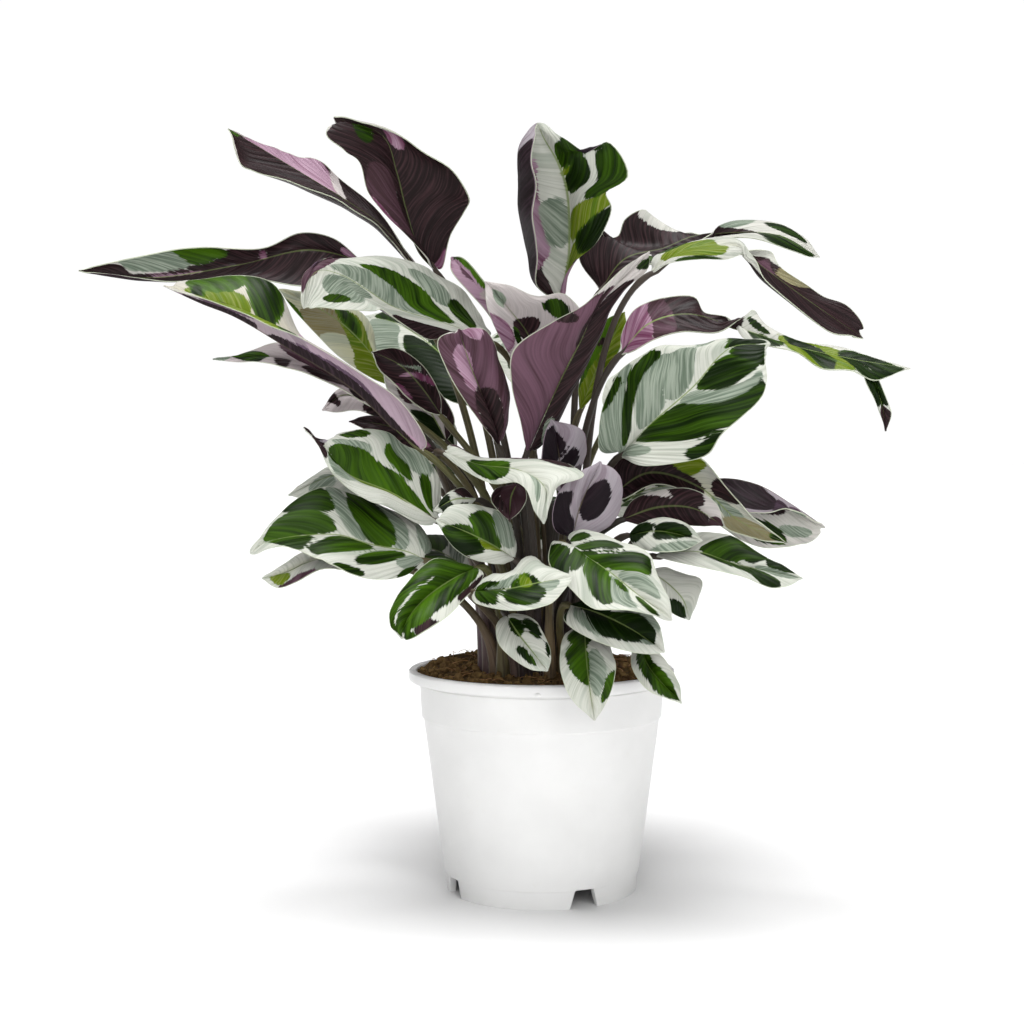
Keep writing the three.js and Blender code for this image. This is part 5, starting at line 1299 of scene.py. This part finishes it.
def depthInside(points, outline):
    # how far each point lies inside a closed outline, below zero outside it
    after = np.roll(outline, -1, axis=0)
    edge = after - outline
    reach = points[:, None] - outline
    share = np.clip((reach * edge).sum(2) / np.maximum((edge ** 2).sum(1), 1e-9), 0, 1)
    away = np.linalg.norm(reach - share[..., None] * edge, axis=2).min(1)
    straddles = (outline[:, 1] > points[:, 1:]) != (after[:, 1] > points[:, 1:])
    rise = np.where(np.abs(edge[:, 1]) < 1e-9, 1e-9, edge[:, 1])
    crossing = outline[:, 0] + (points[:, 1:] - outline[:, 1]) / rise * edge[:, 0]
    inside = (straddles & (points[:, :1] < crossing)).sum(1) % 2 == 1
    return np.where(inside, away, -away)


def stripes(seed):
    # the usual marks of the plant, for leaves whose face the photograph doesn't show
    look, dice, made = stripeLooks, np.random.default_rng(seed), []
    for side in (-1, 1):
        u = dice.uniform(*look["first"])
        while u < look["last"]:
            width = dice.uniform(*look["width"])
            reach = dice.uniform(*look["reach"])
            lean = dice.uniform(*look["lean"]) * (1 - u / 150)  # steeper towards the tip
            kind = dice.choice(look["kinds"])
            spots = [(u, 3), (u + width, 3), (u + width * 1.3 + lean * 0.5, reach * 0.5), (u + width + lean, reach),
                     (u + width * 0.3 + lean, reach), (u + lean * 0.35, reach * 0.45)]
            made.append(kind + "".join(f" {min(a, 97):.0f},{b * side:.0f}" for a, b in spots))
            u += width + dice.uniform(*look["apart"])
    return made


def readOutline(pairs):
    # an outline in percent; what comes close to a margin or an end is carried on past it
    outline = np.array([[float(n) for n in pair.split(",")] for pair in pairs])
    u, v = outline.T
    v = np.where(np.abs(v) > 97, np.sign(v) * 112, v)
    u = np.where(u > 98.5, 106, np.where(u < 0.5, -6, u))
    return np.stack([u, v], 1) / 100


def paintLeaf(mesh, leaf, u, v, length, halfWidth, seed):
    # the marks of a leaf, each kind as its depth inside its outlines in millimetres
    size = np.array([length, halfWidth])
    spots = np.stack([u, v], 1) * size
    farOutside = -30.0
    fields = {kind: np.full(len(u), farOutside) for kind in kinds}
    tone = leaf.get("warm", 0.4) + 0.3 * (0.45 - np.abs(v))  # greener and darker towards the margin
    for mark in leaf.get("marks") or stripes(seed):
        name, *pairs = mark.split()
        depth = depthInside(spots, rounded(readOutline(pairs) * size))
        for kind in kinds:  # a later mark cuts into the earlier ones
            if kind == name[0]:
                fields[kind] = np.maximum(fields[kind], depth)
            else:
                fields[kind] = np.minimum(fields[kind], -depth - 2 * leafShine["spread"] + leafShine["overlap"])
        if len(name) > 1:
            tone += (int(name[1]) / 9 - tone) * smoothStep(depth / 2 + 0.5)
    for kind, name in kinds.items():
        setField(mesh, name, fields[kind])
    setField(mesh, "tone", tone)
    setField(mesh, "blush", np.full(len(u), leaf.get("blush", 0.0)))
    setField(mesh, "fromRib", np.abs(v) * halfWidth / (0.35 + 0.65 * (1 - u)))
    setField(mesh, "fromEdge", (1 - np.abs(v)) * halfWidth)


def raiseMidrib(blade, u, v, halfWidth):
    # the midrib stands out under the blade
    mesh = blade.data
    count = len(u)
    points = readPoints(mesh)
    side = np.empty(len(mesh.polygons), dtype=np.int32)
    mesh.polygons.foreach_get("material_index", side)
    corners = {i for face, low in zip(mesh.polygons, side) if low for i in face.vertices}
    first = 0 if sum(i < count for i in corners) > len(corners) / 2 else count
    below, above = points[first:first + count], points[count - first:2 * count - first]
    ribWidth = np.interp(u, [0, 1], leafLooks["ribWidth"])
    rib = np.interp(u, [0, 1], leafLooks["ribHeight"]) * np.exp(-(v * halfWidth / ribWidth) ** 2)
    rib *= np.sin(np.pi * np.clip(u, 0.02, 0.98)) ** 0.3
    below += unit(below - above) * rib[:, None] * mm
    writePoints(mesh, points)


def growBlade(leaf, seed):
    curves = bladeCurves(leaf)
    fine = np.linspace(0, 1, 60)
    line = along(curves[0], fine)
    length = stepsAlong(line)[-1]
    widths = [np.linalg.norm(along(margin, fine) - line, axis=1) for margin in curves[1:]]
    halfWidth = max(float(np.percentile(w, 80)) for w in widths)
    rows = int(np.clip(length / leafLooks["rowLength"], *leafLooks["rows"]))
    columns = 2 * int(np.clip(halfWidth / leafLooks["columnWidth"], *leafLooks["columns"]))
    blade, u, v = addSheet("blade", rows, columns)
    u = u - np.sin(2 * np.pi * u) * leafLooks["crowding"]
    points = bladePoints(curves, leaf.get("arch", leafLooks["arch"]), u, v)
    mesh = blade.data
    writePoints(mesh, inFrame(points))
    normals = np.empty(len(mesh.vertices) * 3)
    mesh.vertices.foreach_get("normal", normals)
    normals = normals.reshape(-1, 3)
    facing = (normals * unit(towardsEye(points))).sum()
    waves = marginWaves(u, v, seed) * halfWidth * leafLooks["ruffle"]
    writePoints(mesh, inFrame(points + normals * waves[:, None]))
    if facing < 0:
        pick(blade)
        bpy.ops.object.mode_set(mode="EDIT")
        bpy.ops.mesh.select_all(action="SELECT")
        bpy.ops.mesh.flip_normals()
        bpy.ops.object.mode_set(mode="OBJECT")
    sweep = leafLooks["veinSweep"] * (np.abs(v) * halfWidth) ** 1.12 * (1.3 - 0.5 * u)
    setMap(mesh, "veins", np.stack([u * length - sweep, v * halfWidth], 1))
    paintLeaf(mesh, leaf, u, v, length, halfWidth, seed)
    for side in leaf.get("faces", "tu") + "s":
        mesh.materials.append(leafSkins[side])
    shell = blade.modifiers.new("thickness", "SOLIDIFY")
    shell.thickness = leafLooks["thickness"] * mm
    shell.offset = 0
    shell.material_offset = 1
    applyAll(blade)
    raiseMidrib(blade, u, v, halfWidth)
    return blade, curves


stalkLooks = {
    "foot": 114,  # mm above what the pot stands on
    "sides": 12,
    "ringLength": 4,  # mm
    "depth": 10,  # mm that it stands in the soil
    "radius": (2.4, 1.6, 0.9),  # at the soil, at the blade's base and where it runs out
    "rise": (0.6, 20),  # how straight it starts up: share of its height, and the least height in mm
    "runsOut": 0.16,  # share of the blade
    "under": (1.2, 0.5),  # mm that it lies under the blade, at the blade's base and where it runs out
    "sheath": 1.25,  # how many times wider the sheath at the foot is
    "sheathShare": 0.45,  # share of the stalk that the sheath wraps
    "joint": (1.15, 9),  # the paler swelling under the blade: how many times wider, and its length
}


def stalkLine(leaf, curves):
    # points from the foot in the soil up to the blade and under it, and the number of the one at its base
    foot = np.array([*leaf["root"], stalkLooks["foot"]])
    base, way = curves[0][0], heading(curves[0], np.array([0.0]))[0]
    share, least = stalkLooks["rise"]
    lower = foot + np.array([0, 0, share * max(base[2] - foot[2], least)])
    upper = base - way * 0.15 * np.linalg.norm(base - foot)
    count = 60
    t = np.linspace(0, 1, count)[:, None]
    path = (1 - t) ** 3 * foot + 3 * t * (1 - t) ** 2 * lower + 3 * t ** 2 * (1 - t) * upper + t ** 3 * base
    run = np.linspace(0, stalkLooks["runsOut"], 8)[1:]
    under = along(curves[0], run)
    normal = unit(np.cross(sideways(curves[0], curves[2], np.maximum(run, 0.03)), heading(curves[0], run)))
    toward = np.sign((normal[0] * towardsEye(base)).sum())
    under = under - normal * toward * np.interp(run, [0, run[-1]], stalkLooks["under"])[:, None]
    return np.vstack([foot - [0, 0, stalkLooks["depth"]], path, under]), count


def stalkRadius(leaf, at, u, blade, end):
    # along the stalk: wide in its sheath, slightly swollen under the blade, closed at both ends
    depth = stalkLooks["depth"]
    soilRadius, topRadius, endRadius = stalkLooks["radius"]
    radius = np.interp(at, [0, depth, blade, end], [soilRadius, soilRadius, topRadius, endRadius])
    wrap = stalkLooks["sheathShare"] * blade
    wide = leaf.get("sheath", stalkLooks["sheath"])
    radius *= 1 + (wide - 1) * (1 - smoothStep((at - 0.35 * wrap) / (0.65 * wrap)))
    swell, swellLength = stalkLooks["joint"]
    radius *= 1 + (swell - 1) * np.exp(-((at - blade + swellLength * 0.6) / (swellLength * 0.5)) ** 4)
    ends = np.minimum(1, np.sqrt(np.clip((1 - u) * 12, 0, 1)) + 0.001) * np.minimum(1, u * 20 + 0.001)
    return radius * ends


def growStalk(leaf, curves, seed):
    line, baseNumber = stalkLine(leaf, curves)
    steps = stepsAlong(line)
    blade, end = steps[baseNumber], steps[-1]
    stalk, u, v = addSheet("stalk", int(end / stalkLooks["ringLength"]) + 2, stalkLooks["sides"])
    at = u * end
    centre, ahead, back = (np.stack([np.interp(at + shift, steps, line[:, k]) for k in range(3)], 1)
                           for shift in (0, 1, -1))
    way = unit(ahead - back)
    side = unit(np.cross(way, [0.3, 1, 0.1]))
    rest = np.cross(way, side)
    radius = stalkRadius(leaf, at, u, blade, end)
    angle = v * np.pi
    points = centre + (side * np.cos(angle)[:, None] + rest * np.sin(angle)[:, None]) * radius[:, None]
    mesh = stalk.data
    writePoints(mesh, inFrame(points))
    setMap(mesh, "veins", np.stack([at, angle * 2], 1))
    setField(mesh, "upStalk", (at - stalkLooks["depth"]) / (blade - stalkLooks["depth"]))
    # the stalk's tone; near 0 its colour is painted deep shade
    setField(mesh, "tone", np.full(len(u), leaf.get("stalk", np.random.default_rng(seed).uniform(0, 1))))
    pick(stalk)
    bpy.ops.object.mode_set(mode="EDIT")
    bpy.ops.mesh.select_all(action="SELECT")
    bpy.ops.mesh.remove_doubles(threshold=0.02 * mm)
    bpy.ops.mesh.normals_make_consistent(inside=False)
    bpy.ops.object.mode_set(mode="OBJECT")
    skins = leaf.get("faces", "tu") + "s"
    for skin in skins:
        mesh.materials.append(leafSkins[skin])
    own = np.full(len(mesh.polygons), skins.index("s"), dtype=np.int32)
    mesh.polygons.foreach_set("material_index", own)
    return stalk


def growLeaves():
    for seed, (name, leaf) in enumerate(leaves.items()):
        blade, curves = growBlade(leaf, seed)
        parts = [blade, growStalk(leaf, curves, seed)]
        if "lobe" in leaf:
            parts.append(growBlade(leaf["lobe"], seed)[0])
        pick(*parts)
        bpy.ops.object.join()
        piece = bpy.context.object
        piece.name = piece.data.name = name.replace("leaf", "frond")
        bpy.ops.object.shade_smooth_by_angle(angle=math.radians(60))
        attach(piece, "root")
        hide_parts(name)
    print("leaves:", len(leaves))


studio = {
    "floor": 60.0,  # m
    "dome": 28.0,  # radius of the white backdrop all round, which only the camera sees
    "sky": 0.22,  # brightness of the light from all sides
    # each soft light: strength, then in degrees softness, tilt to the left, tilt to the front, turn to the right
    "lamps": (
        ("softOverheadLight", 3.4, 40, -3, 2, 0),
        ("softFrontLight", 1.38, 60, 0, 67, 9),
    ),
}
view = {
    "place": (0.029, -0.909, 0.229),
    "sensor": 36,
    "lens": 36 * 1667 / 1024,  # the focal length in the photograph is 1667 of its 1024 pixels
    "shift": (-29.7 / 1024, -60 / 1024),
}


def paleFloorPaint():
    # Matt white studio board with a barely visible tooth
    material, tree, shader = newMaterial("whiteStudioBoard", "#f0f0f0", 0.9)
    place = addNode(tree, "ShaderNodeTexCoord").outputs["Object"]
    fill(tree, shader.inputs["Normal"], addBump(tree, addNoise(tree, place, 300.0), 0.05, 0.0001))
    return material


def setStudio():
    deselectAll()
    bpy.ops.mesh.primitive_plane_add(size=studio["floor"])
    floor = bpy.context.object
    floor.name = "floor"
    floor.data.materials.append(paleFloorPaint())
    world = bpy.data.worlds.new("whiteRoom")
    bpy.context.scene.world = world
    world.use_nodes = True
    sky = world.node_tree.nodes["Background"]
    sky.inputs["Color"].default_value = (1, 1, 1, 1)
    sky.inputs["Strength"].default_value = studio["sky"]
    bpy.ops.mesh.primitive_uv_sphere_add(radius=studio["dome"])
    dome = bpy.context.object
    dome.name = "backdrop"
    paper, tree, shader = newMaterial("litWhitePaper", "#000000", 1.0)
    shader.inputs["Emission Color"].default_value = (1, 1, 1, 1)
    shader.inputs["Emission Strength"].default_value = 1.0
    dome.data.materials.append(paper)
    dome.visible_diffuse = dome.visible_glossy = dome.visible_shadow = dome.visible_transmission = False
    for name, strength, softness, left, front, turn in studio["lamps"]:
        aim = [math.radians(angle) for angle in (front, left, turn)]
        bpy.ops.object.light_add(type="SUN", location=(0, 0, 2), rotation=aim)
        lamp = bpy.context.object
        lamp.name = name
        lamp.data.energy = strength
        lamp.data.angle = math.radians(softness)
    bpy.ops.object.camera_add(location=view["place"], rotation=(math.radians(90), 0, 0))
    camera = bpy.context.object
    camera.data.sensor_width = view["sensor"]
    camera.data.lens = view["lens"]
    camera.data.shift_x, camera.data.shift_y = view["shift"]
    bpy.context.scene.camera = camera
    bpy.context.scene.view_settings.view_transform = "Standard"
    print("studio: ready")


leafSkins = {"t": leafSurface("leafUpperSide", 0), "u": leafSurface("leafUnderSide", 1), "s": stalkSurface()}
buildPot()
buildSoil()
growLeaves()
setStudio()
